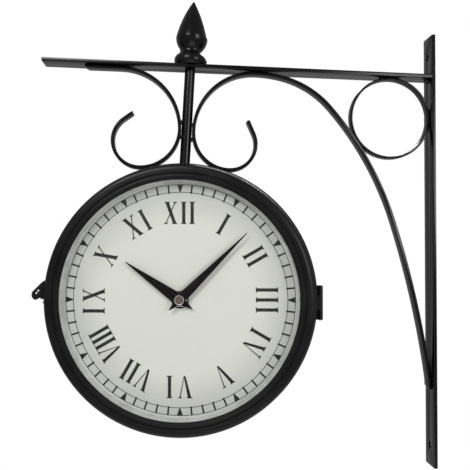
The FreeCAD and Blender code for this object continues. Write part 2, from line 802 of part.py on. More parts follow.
case_plate = sector([
    (body_r + seat, rim_back - size("leaf_length")), (body_r + leaf, rim_back - size("leaf_length")),
    (body_r + leaf, rim_back - leaf - seat), (rim + leaf, rim_back - leaf - seat),
    (rim + leaf, size("drum_half") - 0.2), (rim + seat, size("drum_half") - 0.2),
    (rim + seat, rim_back - seat), (body_r + seat, rim_back - seat),
], hinge_low, hinge_high)
ends = [(hinge_low, middle_low - slit), (middle_high + slit, hinge_high)]
end_knuckles = [upright(knuckle, low, high) for low, high in ends]
end_webs = [Part.makeBox(pin_r - rim + 1, knuckle, high - low,
                         Vector(rim - 1, pin_y - knuckle, low)) for low, high in ends]
case_leaf = case_plate.fuse(end_knuckles + end_webs)
case_leaf = case_leaf.cut(upright(swing_clear, middle_low - slit, middle_high + slit))
case_leaf = case_leaf.cut(upright(hole, hinge_low - 1, hinge_high + 1))
doc.recompute()
rim_envelope = Part.makeCylinder(rim + seat / 2, size("drum_half") + 0.1, Vector(), Vector(0, 1, 0))
rim_envelope = rim_envelope.cut(
    Part.makeCylinder(rim + 1, rim_back - seat, Vector(), Vector(0, 1, 0)))
coded("case_hinge_leaf", case_leaf.cut(rim_envelope).removeSplitter(), HINGE)

door_edge = size("drum_half") + size("seam_gap")
door_plate = sector([
    (door_r + seat, door_edge + 0.1), (door_r + leaf, door_edge + 0.1),
    (door_r + leaf, size("bezel_front") - size("shoulder_radius") - 0.5),
    (door_r + seat, size("bezel_front") - size("shoulder_radius") - 0.5),
], hinge_low, hinge_high)
web_low = door_edge + 0.1
door_web = Part.makeBox(pin_r - door_r, pin_y + knuckle - web_low, middle,
                        Vector(door_r, web_low, middle_low))
door_leaf = door_plate.fuse([door_web, upright(knuckle, middle_low, middle_high)])
door_leaf = door_leaf.cut(upright(hole, hinge_low - 1, hinge_high + 1))
door_shell = Part.makeCylinder(door_r + seat / 2, size("bezel_front"), Vector(), Vector(0, 1, 0))
coded("door_hinge_leaf", door_leaf.cut(door_shell).removeSplitter(), HINGE)

keep("hinge_pin", rod("hinge_pin_rod", "hinge_pin_radius", "hinge_height + 1",
                      Vector(pin_r, pin_y, hinge_low - 0.5)), HINGE)

# ---------------------------------------------------------------- snap clasp

ears_x = body_r + size("clasp_pin_stand")
ears_y = size("clasp_pin_depth")
clasp_mid = size("clasp_rise")
lever_half = size("clasp_lever_width") / 2
eye_half = size("clasp_eye_width") / 2
clasp_low = clasp_mid - size("clasp_height") / 2
clasp_high = clasp_mid + size("clasp_height") / 2
clasp_hole = size("clasp_pin_radius") + size("hinge_play")
ear_r = 2.4

base_plate = sector([
    (body_r + seat, ears_y - 8), (body_r + leaf, ears_y - 8),
    (body_r + leaf, rim_back - 0.6), (body_r + seat, rim_back - 0.6),
], clasp_low, clasp_high)
ears = []
for low in (clasp_mid - eye_half - slit - leaf, clasp_mid + eye_half + slit):
    lug = Part.makeBox(ears_x - body_r + 2, 2 * ear_r, leaf, Vector(body_r - 2, ears_y - ear_r, low))
    ears.append(lug.fuse(Part.makeCylinder(ear_r, leaf, Vector(ears_x, ears_y, low))))
base = base_plate.fuse(ears).cut(
    Part.makeCylinder(body_r + seat / 2, 2 * size("drum_half"), Vector(), Vector(0, 1, 0)))
base = base.cut(upright(clasp_hole, clasp_low - 1, clasp_high + 1, ears_x, ears_y))
coded("clasp_base", base.removeSplitter(), FRONT)
keep("clasp_pin", rod("clasp_pin_rod", "clasp_pin_radius", "clasp_eye_width + 2 * leaf_thick + 1.4",
                      Vector(ears_x, ears_y, clasp_mid - eye_half - leaf - 0.7)), FRONT)

# lever: an eye round the pin, a flat arm over the rim, a nose on the door and a finger tab
arm_r = rim + 0.9
nose_y = size("bezel_front") - size("shoulder_radius") - 1.6
tip_r = door_r + size("clasp_reach")
nose_r = door_r + size("keeper_height") + 0.3
neck_y = ears_y + 6.0


def prism(points, start, length, across):
    """A straight block: points are (x, y) with across 'z', or (x, z) with across 'y'."""
    corners = [Vector(u, v, start) if across == "z" else Vector(u, start, v) for u, v in points]
    face = Part.Face(Part.makePolygon(corners + corners[:1]))
    return face.extrude(Vector(0, 0, length) if across == "z" else Vector(0, length, 0))


lever_side = prism([
    (ears_x, ears_y - 1.6), (ears_x + 1.4, ears_y), (arm_r + 1.0, neck_y),
    (arm_r + 1.0, nose_y - 1.0), (tip_r, nose_y - 1.0), (tip_r, nose_y), (nose_r, nose_y),
    (nose_r, nose_y - 1.0), (arm_r, nose_y - 2.4), (arm_r, neck_y), (ears_x - 1.4, ears_y),
], clasp_low, size("clasp_height"), "z")
lever_plan = prism([
    (nose_r, clasp_mid + 9.7), (nose_r + 1.2, clasp_mid + 9.7), (tip_r - 0.6, clasp_mid + 1.6),
    (tip_r, clasp_mid - 0.6), (tip_r - 0.5, clasp_mid - 3.0), (tip_r - 2.2, clasp_mid - 4.9),
    (tip_r - 3.8, clasp_mid - 5.1), (arm_r + 1.2, clasp_mid - 3.4), (nose_r, clasp_mid - 3.4),
], nose_y - 1.1, 2.0, "y")
arm_block = Part.makeBox(20, nose_y - 1.0 - neck_y + 4, 2 * lever_half,
                         Vector(ears_x - 10, neck_y - 4, clasp_mid - lever_half))
eye_block = Part.makeBox(20, neck_y - 1.5 - ears_y + 4, 2 * eye_half,
                         Vector(ears_x - 10, ears_y - 4, clasp_mid - eye_half))
lever = lever_side.common(lever_plan.fuse([arm_block, eye_block]))
lever = lever.fuse(upright(1.9, clasp_mid - eye_half, clasp_mid + eye_half, ears_x, ears_y))
for hole_x, hole_z in ((arm_r + 2.6, 2.6), (arm_r + 4.2, 0.6)):
    lever = lever.cut(Part.makeCylinder(0.8, 4.0, Vector(hole_x, nose_y - 3, clasp_mid + hole_z),
                                        Vector(0, 1, 0)))
lever = lever.cut(upright(clasp_hole, clasp_low - 1, clasp_high + 1, ears_x, ears_y))
coded("clasp_lever", lever.removeSplitter(), FRONT)

# keeper: a low rib on the door's side, which the nose rides over as the clasp snaps
keeper_y = nose_y - 0.3 - size("keeper_width")
coded("clasp_keeper", sector([
    (door_r + seat, keeper_y), (door_r + size("keeper_height"), keeper_y),
    (door_r + size("keeper_height"), nose_y - 0.3), (door_r + seat, nose_y - 0.3),
], clasp_mid - lever_half - 1, clasp_mid + lever_half + 1), FRONT)

# rivets of the hinge leaves and the clasp; the hinge's are on the reader's right
hinge_side = [math.pi + math.asin((hinge_mid + side * size("hinge_height") * 0.33) / rim)
              for side in (-1, 1)]
clasp_side = [math.asin((clasp_mid + side * size("clasp_height") * 0.3) / body_r)
              for side in (-1, 1)]
rivets("case_rivets", [(angle, rim_back - size("leaf_length") / 2, body_r + leaf)
                       for angle in hinge_side]
       + [(angle, ears_y + 6, body_r + leaf) for angle in clasp_side], FRONT)
rivets("door_rivets", [(angle, door_edge + 4.0, door_r + leaf) for angle in hinge_side], FRONT)

# ---------------------------------------------------------------- quartz movements

DIAL_BACK = "dial_depth - dial_thick"
HOUSING_BACK = "dial_depth - dial_thick - movement_depth"


def gear(teeth, module, width, bore, fill=0.40):
    """A small spur wheel on the Y axis: straight-flanked teeth, thinner at the tip."""
    pitch = teeth * module / 2
    top, root = pitch + module * 0.85, pitch - module * 1.15
    step = 2 * math.pi / teeth
    corners = []
    for tooth in range(teeth):
        middle_angle = tooth * step
        for radius, share in ((root, -fill * 0.75), (pitch, -fill * 0.5), (top, -fill * 0.25),
                              (top, fill * 0.25), (pitch, fill * 0.5), (root, fill * 0.75)):
            angle = middle_angle + share * step
            corners.append(Vector(radius * math.sin(angle), 0, radius * math.cos(angle)))
    face = Part.Face(Part.makePolygon(corners + corners[:1]))
    wheel = face.extrude(Vector(0, width, 0))
    if bore:
        wheel = wheel.cut(Part.makeCylinder(bore, 3 * width, Vector(0, -width, 0), Vector(0, 1, 0)))
    return wheel


def on_axis(shape, x, y, z=0.0, spin=0.0):
    turned_shape = shape.copy()
    turned_shape.rotate(Vector(), Vector(0, 1, 0), spin)
    turned_shape.translate(Vector(x, y, z))
    return turned_shape


def pipe(outer, inner, low, high, x=0.0, z=0.0):
    tube_shape = Part.makeCylinder(outer, high - low, Vector(x, low, z), Vector(0, 1, 0))
    if inner:
        tube_shape = tube_shape.cut(
            Part.makeCylinder(inner, high - low + 2, Vector(x, low - 1, z), Vector(0, 1, 0)))
    return tube_shape


def hand_outline(length, width, tail, hub):
    """A straight-tapered blade, widest beside the hub, with a pointed tail behind it."""
    half = width / 2
    tip = 0.3
    right_side = [
        (tip, length), (half * 0.20, length * 0.87), (half, hub * 1.06),
        (half * 0.80, hub * 0.30), (half * 0.80, -hub * 0.30), (half * 0.52, -hub * 1.04),
        (tip, -tail),
    ]
    left_side = [(-x, z) for x, z in reversed(right_side)]
    return right_side + left_side


def hand(node, length, width, tail, angle, low, bore, place):
    """One hand, pointing to a clock angle as the reader sees it."""
    points = [Vector(x, low, z) for x, z in hand_outline(length, width, tail, size("hub_radius"))]
    blade = Part.Face(Part.makePolygon(points + points[:1])).extrude(
        Vector(0, size("hand_thick"), 0))
    blade = blade.fuse(pipe(size("hub_radius"), 0, low, low + size("hand_thick")))
    blade = blade.cut(pipe(bore, 0, low - 1, low + 2))
    blade.rotate(Vector(), Vector(0, 1, 0), -angle)
    coded(node, blade.removeSplitter(), place)


def movement(side, place):
    """Housing, cover, battery, drive, motion work, hands and setting knob behind one dial."""
    half = size("movement_size") / 2
    wall = size("movement_wall")
    front_y = worked(DIAL_BACK)
    back_y = worked(HOUSING_BACK)
    dial_y = size("dial_depth")
    clear = size("running_clear")
    inner_y = front_y - wall
    lid_y = back_y + size("cover_thick")
    arm_x, arm_z = 0.0, size("wheel_centres")
    knob_x, knob_z = size("wheel_centres"), size("wheel_centres")
    bush_top = dial_y + size("dial_nut_height") + 0.8
    bay_top = -half + wall + 2 * size("battery_radius") + 0.8

    # housing: an open-backed tray with a threaded bush through the dial
    tray = Part.makeBox(2 * half, front_y - lid_y, 2 * half, Vector(-half, lid_y, -half))
    hollow = Part.makeBox(2 * (half - wall), inner_y - lid_y + 1, 2 * (half - wall),
                          Vector(-half + wall, lid_y - 1, -half + wall))
    shelf = Part.makeBox(2 * (half - wall), inner_y - lid_y, wall,
                         Vector(-half + wall, lid_y, bay_top))
    bush = pipe(size("bush_radius"), 0, front_y, bush_top)
    bore = pipe(size("bush_bore"), 0, inner_y - 1, bush_top + 1)
    axle_arm = pipe(0.8, 0, lid_y + 1.0, inner_y, arm_x, arm_z)
    housing = tray.cut(hollow).fuse([shelf, bush, axle_arm]).cut(bore)
    coded(f"{side}_movement_housing", housing.removeSplitter(), place)

    # cover: a lid with a hole for the setting knob's arbor
    lid = Part.makeBox(2 * half, size("cover_thick"), 2 * half, Vector(-half, back_y, -half))
    lid = lid.cut(pipe(1.0 + clear, 0, back_y - 1, lid_y + 1, knob_x, knob_z))
    coded(f"{side}_movement_cover", lid, place)

    # flanged nut that clamps the dial to the bush
    flange = size("dial_nut_flange_height")
    nut = pipe(size("dial_nut_flange"), 0, dial_y, dial_y + flange)
    hexagon = [Vector(size("dial_nut_across") / math.sqrt(3) * math.cos(math.radians(60 * k)), 0,
                      size("dial_nut_across") / math.sqrt(3) * math.sin(math.radians(60 * k)))
               for k in range(6)]
    hexagon_face = Part.Face(Part.makePolygon(hexagon + hexagon[:1]))
    hexagon_face.translate(Vector(0, dial_y + flange, 0))
    nut = nut.fuse(hexagon_face.extrude(Vector(0, size("dial_nut_height"), 0)))
    nut = nut.cut(pipe(size("bush_radius") + size("thread_clear"), 0, dial_y - 1, bush_top + 1))
    coded(f"{side}_dial_nut", nut, place)

    # battery lying in its bay, with a raised end, and a pair of contact plates
    cell_z = -half + wall + size("battery_radius") + 0.3
    cell_y = (lid_y + inner_y) / 2
    span = size("battery_length") / 2
    cell = Part.makeCylinder(size("battery_radius"), 2 * span - 1.2, Vector(-span, cell_y, cell_z),
                             Vector(1, 0, 0))
    nub = Part.makeCylinder(2.6, 1.2, Vector(span - 1.2, cell_y, cell_z), Vector(1, 0, 0))
    coded(f"{side}_battery", cell.fuse(nub).removeSplitter(), place)
    contacts = [Part.makeBox(0.5, 8, 9, Vector(x, cell_y - 4, cell_z - 4.5))
                for x in (-span - 0.5, span)]
    feet = [Part.makeBox(half - wall - span, 8, 0.5, Vector(x, cell_y - 4, cell_z + 4.0))
            for x in (-half + wall, span)]
    coded(f"{side}_battery_contacts",
          Part.makeCompound([contacts[0].fuse(feet[0]), contacts[1].fuse(feet[1])]), place)

    # drive: a small circuit board that carries the coil and the stepping motor
    board = Part.makeBox(15, 1.0, 32, Vector(-half + wall + 1, inner_y - 3.0, bay_top + wall + 1))
    post = Part.makeBox(4, 2.0, 4, Vector(-half + wall + 2, inner_y - 2.0, bay_top + wall + 3))
    coil_x = -half + wall + 5.0
    coil = Part.makeCylinder(3.2, 18, Vector(coil_x + 2, inner_y - 6.0, bay_top + wall + 6),
                             Vector(0, 0, 1))
    coded(f"{side}_drive_unit", board.fuse([post, coil]).removeSplitter(), place)

    # motion work: 12 to 36 teeth, then 10 to 40, which makes twelve to one
    centres = size("wheel_centres")
    first, second = centres * 2 / 48, centres * 2 / 50
    wheel = size("wheel_thick")
    level_one = inner_y - 5.2
    level_two = inner_y - 2.6
    minute_top = dial_y + size("minute_hand_height") + size("hand_thick") + 1.0
    shaft = pipe(size("minute_shaft_radius"), 0, lid_y + 1.0, minute_top)
    pinion = on_axis(gear(12, first, 2 * wheel, 0), 0, level_one - wheel / 2)
    minute_arbor = shaft.fuse(pinion)
    coded(f"{side}_minute_arbor", minute_arbor.removeSplitter(), place)

    big = on_axis(gear(36, first, wheel, 0.8 + clear), arm_x, level_one, arm_z, 5.0)
    small = on_axis(gear(10, second, level_two + wheel - level_one - 0.3, 0.8 + clear),
                    arm_x, level_one + 0.1, arm_z)
    coded(f"{side}_motion_wheel", big.fuse(small).removeSplitter(), place)

    hour_wheel = on_axis(gear(40, second, wheel, size("hour_pipe_bore"), 0.40), 0, level_two, 0, 4.5)
    hour_pipe = pipe(size("hour_pipe_radius"), size("hour_pipe_bore"), level_two,
                     dial_y + size("hour_hand_height") + size("hand_thick") + 0.3)
    coded(f"{side}_hour_wheel", hour_wheel.fuse(hour_pipe).removeSplitter(), place)

    # setting knob: a thumb wheel on an arbor whose pinion meets the 36-tooth wheel
    knob = pipe(size("knob_radius"), 0, back_y - size("knob_height") - 0.4, back_y - 0.4,
                knob_x, knob_z)
    grooves = [pipe(0.5, 0, back_y - size("knob_height") - 1, back_y,
                    knob_x + size("knob_radius") * math.cos(math.radians(angle)),
                    knob_z + size("knob_radius") * math.sin(math.radians(angle)))
               for angle in range(0, 360, 20)]
    arbor = pipe(1.0, 0, back_y - 1, level_one + wheel, knob_x, knob_z)
    knob_gear = on_axis(gear(12, first, wheel, 0), knob_x, level_one, knob_z)
    coded(f"{side}_setting_knob", knob.cut(Part.makeCompound(grooves))
          .fuse([arbor, knob_gear]).removeSplitter(), place)

    # hands and the cap that holds them
    hour_low = dial_y + size("hour_hand_height")
    minute_low = dial_y + size("minute_hand_height")
    hand(f"{side}_hour_hand", size("hour_hand_length"), size("hour_width"), size("hour_tail"),
         size("hour_angle"), hour_low, size("hour_pipe_radius") + 0.02, place)
    hand(f"{side}_minute_hand", size("minute_hand_length"), size("minute_width"),
         size("minute_tail"), size("minute_angle"), minute_low,
         size("minute_shaft_radius") + 0.02, place)
    cap_low = minute_low + size("hand_thick")
    cap = pipe(size("cap_radius"), 0, cap_low, cap_low + size("cap_height"))
    cap = cap.makeFillet(size("cap_height") * 0.45, [
        edge for edge in cap.Edges
        if edge.Closed and abs(edge.BoundBox.YMax - cap_low - size("cap_height")) < 0.01
        and edge.BoundBox.YLength < 0.01])
    cap = cap.cut(pipe(size("minute_shaft_radius") + 0.02, 0, cap_low - 1, minute_top + 0.1))
    coded(f"{side}_hand_cap", cap, place)


movement("front", FRONT)
movement("rear", REAR)

# ---------------------------------------------------------------- checks and files

doc.recompute()
faults = [item.Name for item in doc.Objects if {"Invalid", "Error"} & set(item.State)]
if faults:
    raise SystemExit("failed objects: " + ", ".join(faults))
if len(subparts) > 60:
    raise SystemExit("too many sub-parts")
for node, item in subparts.items():
    shape = item.Shape
    if shape.isNull() or not shape.isValid() or not shape.Solids:
        raise SystemExit(f"{node}: no valid solid")
    shape.exportStep(f"parts/{node}.step")
print(len(subparts), "sub-parts written")
print("case centre", [round(value, 2) for value in case_centre],
      "pin radius", round(pin_r, 2), "pin depth", round(pin_y, 2))
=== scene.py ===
# %% [markdown]
# # Double sided station clock on a wall bracket
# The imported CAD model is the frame: every bar, ring and wheel is already where
# it belongs and moves with its own body. This script gives each of them its
# finish, rounds the edges of the flat steel, prints the two dials and sets up
# the camera and the light. Blender counts in metres. Sizes that a maker would
# give in millimetres are written so, and multiplied by MM.

# %% Load the frame
import json
import math

import bmesh
import bpy
from mathutils import Matrix, Vector

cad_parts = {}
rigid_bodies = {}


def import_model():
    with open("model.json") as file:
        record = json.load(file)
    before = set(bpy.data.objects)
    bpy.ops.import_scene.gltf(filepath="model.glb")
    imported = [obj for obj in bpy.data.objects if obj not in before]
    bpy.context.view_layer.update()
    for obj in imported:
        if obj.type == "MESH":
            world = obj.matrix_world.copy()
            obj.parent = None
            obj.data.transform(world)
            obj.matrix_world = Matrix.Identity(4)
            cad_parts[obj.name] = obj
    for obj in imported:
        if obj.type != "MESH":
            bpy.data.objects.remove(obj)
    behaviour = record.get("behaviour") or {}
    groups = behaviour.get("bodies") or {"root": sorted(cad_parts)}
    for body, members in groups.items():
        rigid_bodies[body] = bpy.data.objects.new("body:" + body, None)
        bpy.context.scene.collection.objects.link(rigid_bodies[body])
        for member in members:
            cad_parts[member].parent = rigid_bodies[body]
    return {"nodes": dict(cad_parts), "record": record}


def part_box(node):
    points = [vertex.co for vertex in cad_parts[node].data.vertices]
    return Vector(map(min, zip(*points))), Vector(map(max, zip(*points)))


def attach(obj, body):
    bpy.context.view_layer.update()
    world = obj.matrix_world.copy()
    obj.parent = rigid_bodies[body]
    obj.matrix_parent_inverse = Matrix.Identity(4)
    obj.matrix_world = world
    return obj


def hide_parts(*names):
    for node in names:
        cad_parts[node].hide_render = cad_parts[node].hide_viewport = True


for leftover in list(bpy.data.objects):
    bpy.data.objects.remove(leftover, do_unlink=True)
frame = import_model()
bpy.context.view_layer.update()
nodes = frame["nodes"]
MM = 0.001
SIDES = ("front", "rear")

# %% [markdown]
# ## The case and its two dials
# The case hangs on a spigot and is turned a few degrees from the bracket. Each
# print, cap or pattern could be placed by its own numbers, but the two dials
# share one axis, so one centre and one angle can place them all. A dial has x
# to the reader's right, y up, and z out towards the reader.

# %% Where the dials are
CASE_CENTRE = Vector((-226.33, 0.0, -41.07)) * MM
CASE_TURN = math.radians(-7.0)
DIAL_FACE = 31.0 * MM
UP = Vector((0.0, 0.0, 1.0))


def dial_place(side):
    """The matrix from a dial's own x, y and z to the frame."""
    turn = CASE_TURN + (math.pi if side == "front" else 0.0)
    right = Vector((-math.cos(turn), -math.sin(turn), 0.0))
    out = Vector((-math.sin(turn), math.cos(turn), 0.0))
    place = Matrix((right, UP, out)).transposed().to_4x4()
    place.translation = CASE_CENTRE
    return place


for side in SIDES:
    low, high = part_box(side + "_dial")
    print(side, "dial box in mm", [round(v / MM, 1) for v in (*low, *high)])

# %% [markdown]
# ## Modelling helpers
# Operators act on all that is selected, so a piece starts with nothing else
# selected. Faces and edges could be clicked in a window, but a script has none
# and picks them by their place or normal instead. A finished piece keeps its
# place in its mesh and its object at the origin, as the CAD nodes do.


# %% Start, name and pick
def alone(piece):
    """Selects one piece and makes it active."""
    bpy.ops.object.select_all(action="DESELECT")
    piece.select_set(True)
    bpy.context.view_layer.objects.active = piece
    return piece


def started(name):
    """Names the primitive that was just added."""
    piece = bpy.context.active_object
    piece.name = name
    piece.data.name = name
    return piece


SELECT_MODES = {"verts": "VERT", "edges": "EDGE", "faces": "FACE"}


def pick(kind, wanted):
    """In edit mode, selects only the verts, edges or faces that wanted() says."""
    bpy.ops.mesh.select_mode(type=SELECT_MODES[kind])
    bpy.ops.mesh.select_all(action="DESELECT")
    mesh = bmesh.from_edit_mesh(bpy.context.active_object.data)
    for part in getattr(mesh, kind):
        if wanted(part):
            part.select_set(True)
    mesh.select_flush_mode()
    bmesh.update_edit_mesh(bpy.context.active_object.data)


# %% Finish, join, place and copy
def modified(piece, kind, **settings):
    """Adds a modifier and applies it."""
    alone(piece)
    extra = piece.modifiers.new(kind.lower(), kind)
    for key, value in settings.items():
        setattr(extra, key, value)
    bpy.ops.object.modifier_apply(modifier=extra.name)


def joined(pieces, name):
    """Joins pieces into one."""
    alone(pieces[0])
    for piece in pieces:
        piece.select_set(True)
    if len(pieces) > 1:
        bpy.ops.object.join()
    return started(name)


def settled(piece, place=None):
    """Puts a piece in place and leaves its object at the origin."""
    alone(piece)
    if place is not None:
        piece.matrix_world = place @ piece.matrix_world
    bpy.ops.object.transform_apply(location=True, rotation=True, scale=True)
    return piece


def twin(piece, name):
    """A copy with its own mesh."""
    copy = bpy.data.objects.new(name, piece.data.copy())
    bpy.context.scene.collection.objects.link(copy)
    copy.data.name = name
    copy.matrix_world = piece.matrix_world
    return copy


# %% [markdown]
# ## Material helpers
# Colours are written as sRGB hex values, as a painter would read them off a
# chart, and one function turns them linear, which is what the shader counts
# in. A pattern's scale is written as the size of its features on the real
# surface. One function adds any node with its settings and its links. Most of
# a noise lies between NOISE_LOW and NOISE_HIGH, so these are spread to a range.


# %% Helpers for materials
NOISE_LOW, NOISE_HIGH = 0.3, 0.7


def linear(code):
    """An sRGB hex colour as linear RGBA."""
    values = [int(code[i : i + 2], 16) / 255 for i in (1, 3, 5)]
    return (*[v / 12.92 if v <= 0.04045 else ((v + 0.055) / 1.055) ** 2.4 for v in values], 1.0)


def grains(mm):
    """The texture scale whose features are about so many millimetres wide."""
    return 1.0 / (mm * MM)


def add(tree, kind, inputs=None, **settings):
    """Adds a node with its settings; an input is a value or a socket to link."""
    node = tree.nodes.new(kind)
    for key, value in settings.items():
        setattr(node, key, value)
    for key, value in (inputs or {}).items():
        if isinstance(value, bpy.types.NodeSocket):
            tree.links.new(value, node.inputs[key])
        else:
            node.inputs[key].default_value = value
    return node


def material(name, **fixed):
    """A material with its shader; fixed are the shader's own plain values."""
    made = bpy.data.materials.new(name)
    made.use_nodes = True
    shader = made.node_tree.nodes["Principled BSDF"]
    for key, value in fixed.items():
        shader.inputs[key.replace("_", " ")].default_value = value
    return made, made.node_tree, shader


def dress(piece, *finishes):
    """Gives a piece its materials: one for all its slots, or one for each."""
    if not piece.material_slots:
        for finish in finishes:
            piece.data.materials.append(finish)
    for number, slot in enumerate(piece.material_slots):
        slot.material = finishes[min(number, len(finishes) - 1)]


# %% [markdown]
# ## Black coats
# The black steel of this clock is coated. The bracket has a gloss powder coat,
# the bezels a stove enamel, the drum a sprayed paint and the hands a thin
# lacquer. A coat melts or flows into a skin with a fine orange peel of about a
# millimetre, a little uneven in gloss, with the odd pale grain of dust. One
# plain black would look flat, so noise of three sizes gives the clouds in tone
# and gloss, the dust and the peel. The photograph shows crisp lamps in the coat
# but little of the room, so the specular level is low.

# %% One recipe for the coats
CLOUD_MM, DUST_MM = 34, 0.9
DUST_GREY, DUST_EDGE, DUST_COVER = "#6A6A68", 0.05, 0.35


def black_coat(name, deep, pale, shine, gloss, peel_mm, peel_depth, dust):
    """A black coat: two tones, shine, roughness range, peel in mm, dust threshold."""
    made, tree, shader = material(name, Specular_IOR_Level=shine)
    where = add(tree, "ShaderNodeTexCoord").outputs["Object"]
    cloud = add(tree, "ShaderNodeTexNoise", {
        "Vector": where, "Scale": grains(CLOUD_MM), "Detail": 5.0})
    tone = add(tree, "ShaderNodeValToRGB", {"Fac": cloud.outputs["Fac"]})
    tone.color_ramp.elements[0].position = 0.32
    tone.color_ramp.elements[0].color = linear(deep)
    tone.color_ramp.elements[1].position = 0.72
    tone.color_ramp.elements[1].color = linear(pale)
    specks = add(tree, "ShaderNodeTexNoise", {
        "Vector": where, "Scale": grains(DUST_MM), "Detail": 2.0})
    settled_dust = add(tree, "ShaderNodeMapRange", {
        "Value": specks.outputs["Fac"], "From Min": dust, "From Max": dust + DUST_EDGE,
        "To Max": DUST_COVER})
    dusty = add(tree, "ShaderNodeMix", {
        "Factor": settled_dust.outputs[0], 6: tone.outputs["Color"], 7: linear(DUST_GREY)},
        data_type="RGBA")
    tree.links.new(dusty.outputs[2], shader.inputs["Base Color"])
    rough = add(tree, "ShaderNodeMapRange", {
        "Value": cloud.outputs["Fac"], "From Min": NOISE_LOW, "From Max": NOISE_HIGH,
        "To Min": gloss[0], "To Max": gloss[1]})
    tree.links.new(rough.outputs[0], shader.inputs["Roughness"])
    peel = add(tree, "ShaderNodeTexNoise", {
        "Vector": where, "Scale": grains(peel_mm), "Detail": 3.0, "Roughness": 0.55})
    bump = add(tree, "ShaderNodeBump", {
        "Height": peel.outputs["Fac"], "Distance": peel_depth * MM, "Strength": 0.8})
    tree.links.new(bump.outputs["Normal"], shader.inputs["Normal"])
    return made


# %% The four coats
powder_coat = black_coat(
    "gloss_black_powder_coat", "#020202", "#070707", shine=0.25, gloss=(0.16, 0.28),
    peel_mm=1.1, peel_depth=0.03, dust=0.74)
stove_enamel = black_coat(
    "satin_black_stove_enamel", "#080808", "#131313", shine=0.2, gloss=(0.3, 0.44),
    peel_mm=1.4, peel_depth=0.035, dust=0.72)
case_paint = black_coat(
    "satin_black_sprayed_paint", "#090909", "#151515", shine=0.2, gloss=(0.32, 0.46),
    peel_mm=1.6, peel_depth=0.04, dust=0.74)
hand_lacquer = black_coat(
    "black_lacquered_hand_steel", "#030101", "#070303", shine=0.05, gloss=(0.3, 0.4),
    peel_mm=0.8, peel_depth=0.012, dust=0.9)
print("black coats", [coat.name for coat in (powder_coat, stove_enamel, case_paint, hand_lacquer)])

# %% [markdown]
# ## The printed dial
# The dial is a thin sheet with an off-white matt print ground, warm in the
# middle. Towards the rim it is greyed by painted shade, the shade that the
# bezel casts. This could be painted on a picture, but a picture would be read
# from disk and has one resolution. The painted shade follows the distance from
# the case's axis, a faint mottle breaks it up, and a fine tooth keeps it matt.
# A Mapping node of the TEXTURE kind moves the centre of the pattern to the axis
# and turns it with the case.


# %% Distance from the case's axis
def from_axis(tree):
    """The distance from the case's axis, and the place measured from it."""
    where = add(tree, "ShaderNodeTexCoord").outputs["Object"]
    local = add(tree, "ShaderNodeMapping", {
        "Vector": where, "Location": CASE_CENTRE, "Rotation": (0.0, 0.0, CASE_TURN)},
        vector_type="TEXTURE")
    flat = add(tree, "ShaderNodeVectorMath", {0: local.outputs[0], 1: (1.0, 0.0, 1.0)},
               operation="MULTIPLY")
    radius = add(tree, "ShaderNodeVectorMath", {0: flat.outputs[0]}, operation="LENGTH")
    return radius.outputs["Value"], local.outputs[0]


# %% Dial sheet
# The second colour is painted shade that darkens the dial towards the rim, where the bezel shades
# it.
WARM_WHITE, RIM_SHADE_GREY = "#D9DBD4", "#BDBFBB"
SHADE_FROM, SHADE_TO = 58 * MM, 98 * MM
MOTTLE_MM, MOTTLE_SHARE, TOOTH_MM = 22, 0.35, 0.7
TOOTH_DEPTH = 0.01 * MM
dial_sheet, tree, shader = material("matt_off_white_printed_sheet", Roughness=0.62,
                                    Specular_IOR_Level=0.25)
radius, local = from_axis(tree)
# How much painted rim shade there is, by distance from the case's axis.
rim_shade = add(tree, "ShaderNodeMapRange", {
    "Value": radius, "From Min": SHADE_FROM, "From Max": SHADE_TO},
    interpolation_type="SMOOTHSTEP")
mottle = add(tree, "ShaderNodeTexNoise", {
    "Vector": local, "Scale": grains(MOTTLE_MM), "Detail": 4.0})
shift = add(tree, "ShaderNodeMath", {
    0: mottle.outputs["Fac"], 1: MOTTLE_SHARE, 2: -MOTTLE_SHARE / 2}, operation="MULTIPLY_ADD")
shade_and_mottle = add(tree, "ShaderNodeMath", {0: rim_shade.outputs[0], 1: shift.outputs[0]},
            operation="ADD", use_clamp=True)
ground_and_shade = add(tree, "ShaderNodeMix", {
    "Factor": shade_and_mottle.outputs[0], 6: linear(WARM_WHITE), 7: linear(RIM_SHADE_GREY)}, data_type="RGBA")
tree.links.new(ground_and_shade.outputs[2], shader.inputs["Base Color"])
tooth = add(tree, "ShaderNodeTexNoise", {
    "Vector": local, "Scale": grains(TOOTH_MM), "Detail": 2.0})
bump = add(tree, "ShaderNodeBump", {
    "Height": tooth.outputs["Fac"], "Distance": TOOTH_DEPTH, "Strength": 0.6})
tree.links.new(bump.outputs["Normal"], shader.inputs["Normal"])
print(dial_sheet.name, "greys from", SHADE_FROM / MM, "to", SHADE_TO / MM, "mm")

# %% [markdown]
# The ink is screen printed: pressed through a mesh, it lies a hair thick and is
# not quite even. Noise a little over a millimetre wide moves it between two
# near blacks, as the mesh leaves it.

# %% Ink
INK_DEEP, INK_THIN, INK_CLOUD_MM = "#060706", "#131413", 1.2
ink, tree, shader = material("screen_printed_black_ink", Roughness=0.5, Specular_IOR_Level=0.25)
where = add(tree, "ShaderNodeTexCoord").outputs["Object"]
laydown = add(tree, "ShaderNodeTexNoise", {
    "Vector": where, "Scale": grains(INK_CLOUD_MM), "Detail": 3.0})
tone = add(tree, "ShaderNodeValToRGB", {"Fac": laydown.outputs["Fac"]})
tone.color_ramp.elements[0].color = linear(INK_DEEP)
tone.color_ramp.elements[1].color = linear(INK_THIN)
tree.links.new(tone.outputs["Color"], shader.inputs["Base Color"])
print(ink.name)

# %% [markdown]
# ## The silver spacer ring
# Between glass and dial sits a spun aluminium ring whose slope catches the
# light. Spinning leaves fine rings all round: a sine of the distance from the
# axis draws them, 0.6 mm apart, coarser than the real tool marks, so that they
# show. The metal is only part mirror, as lacquered aluminium is, which also
# keeps the ring from turning black where the room is dark.

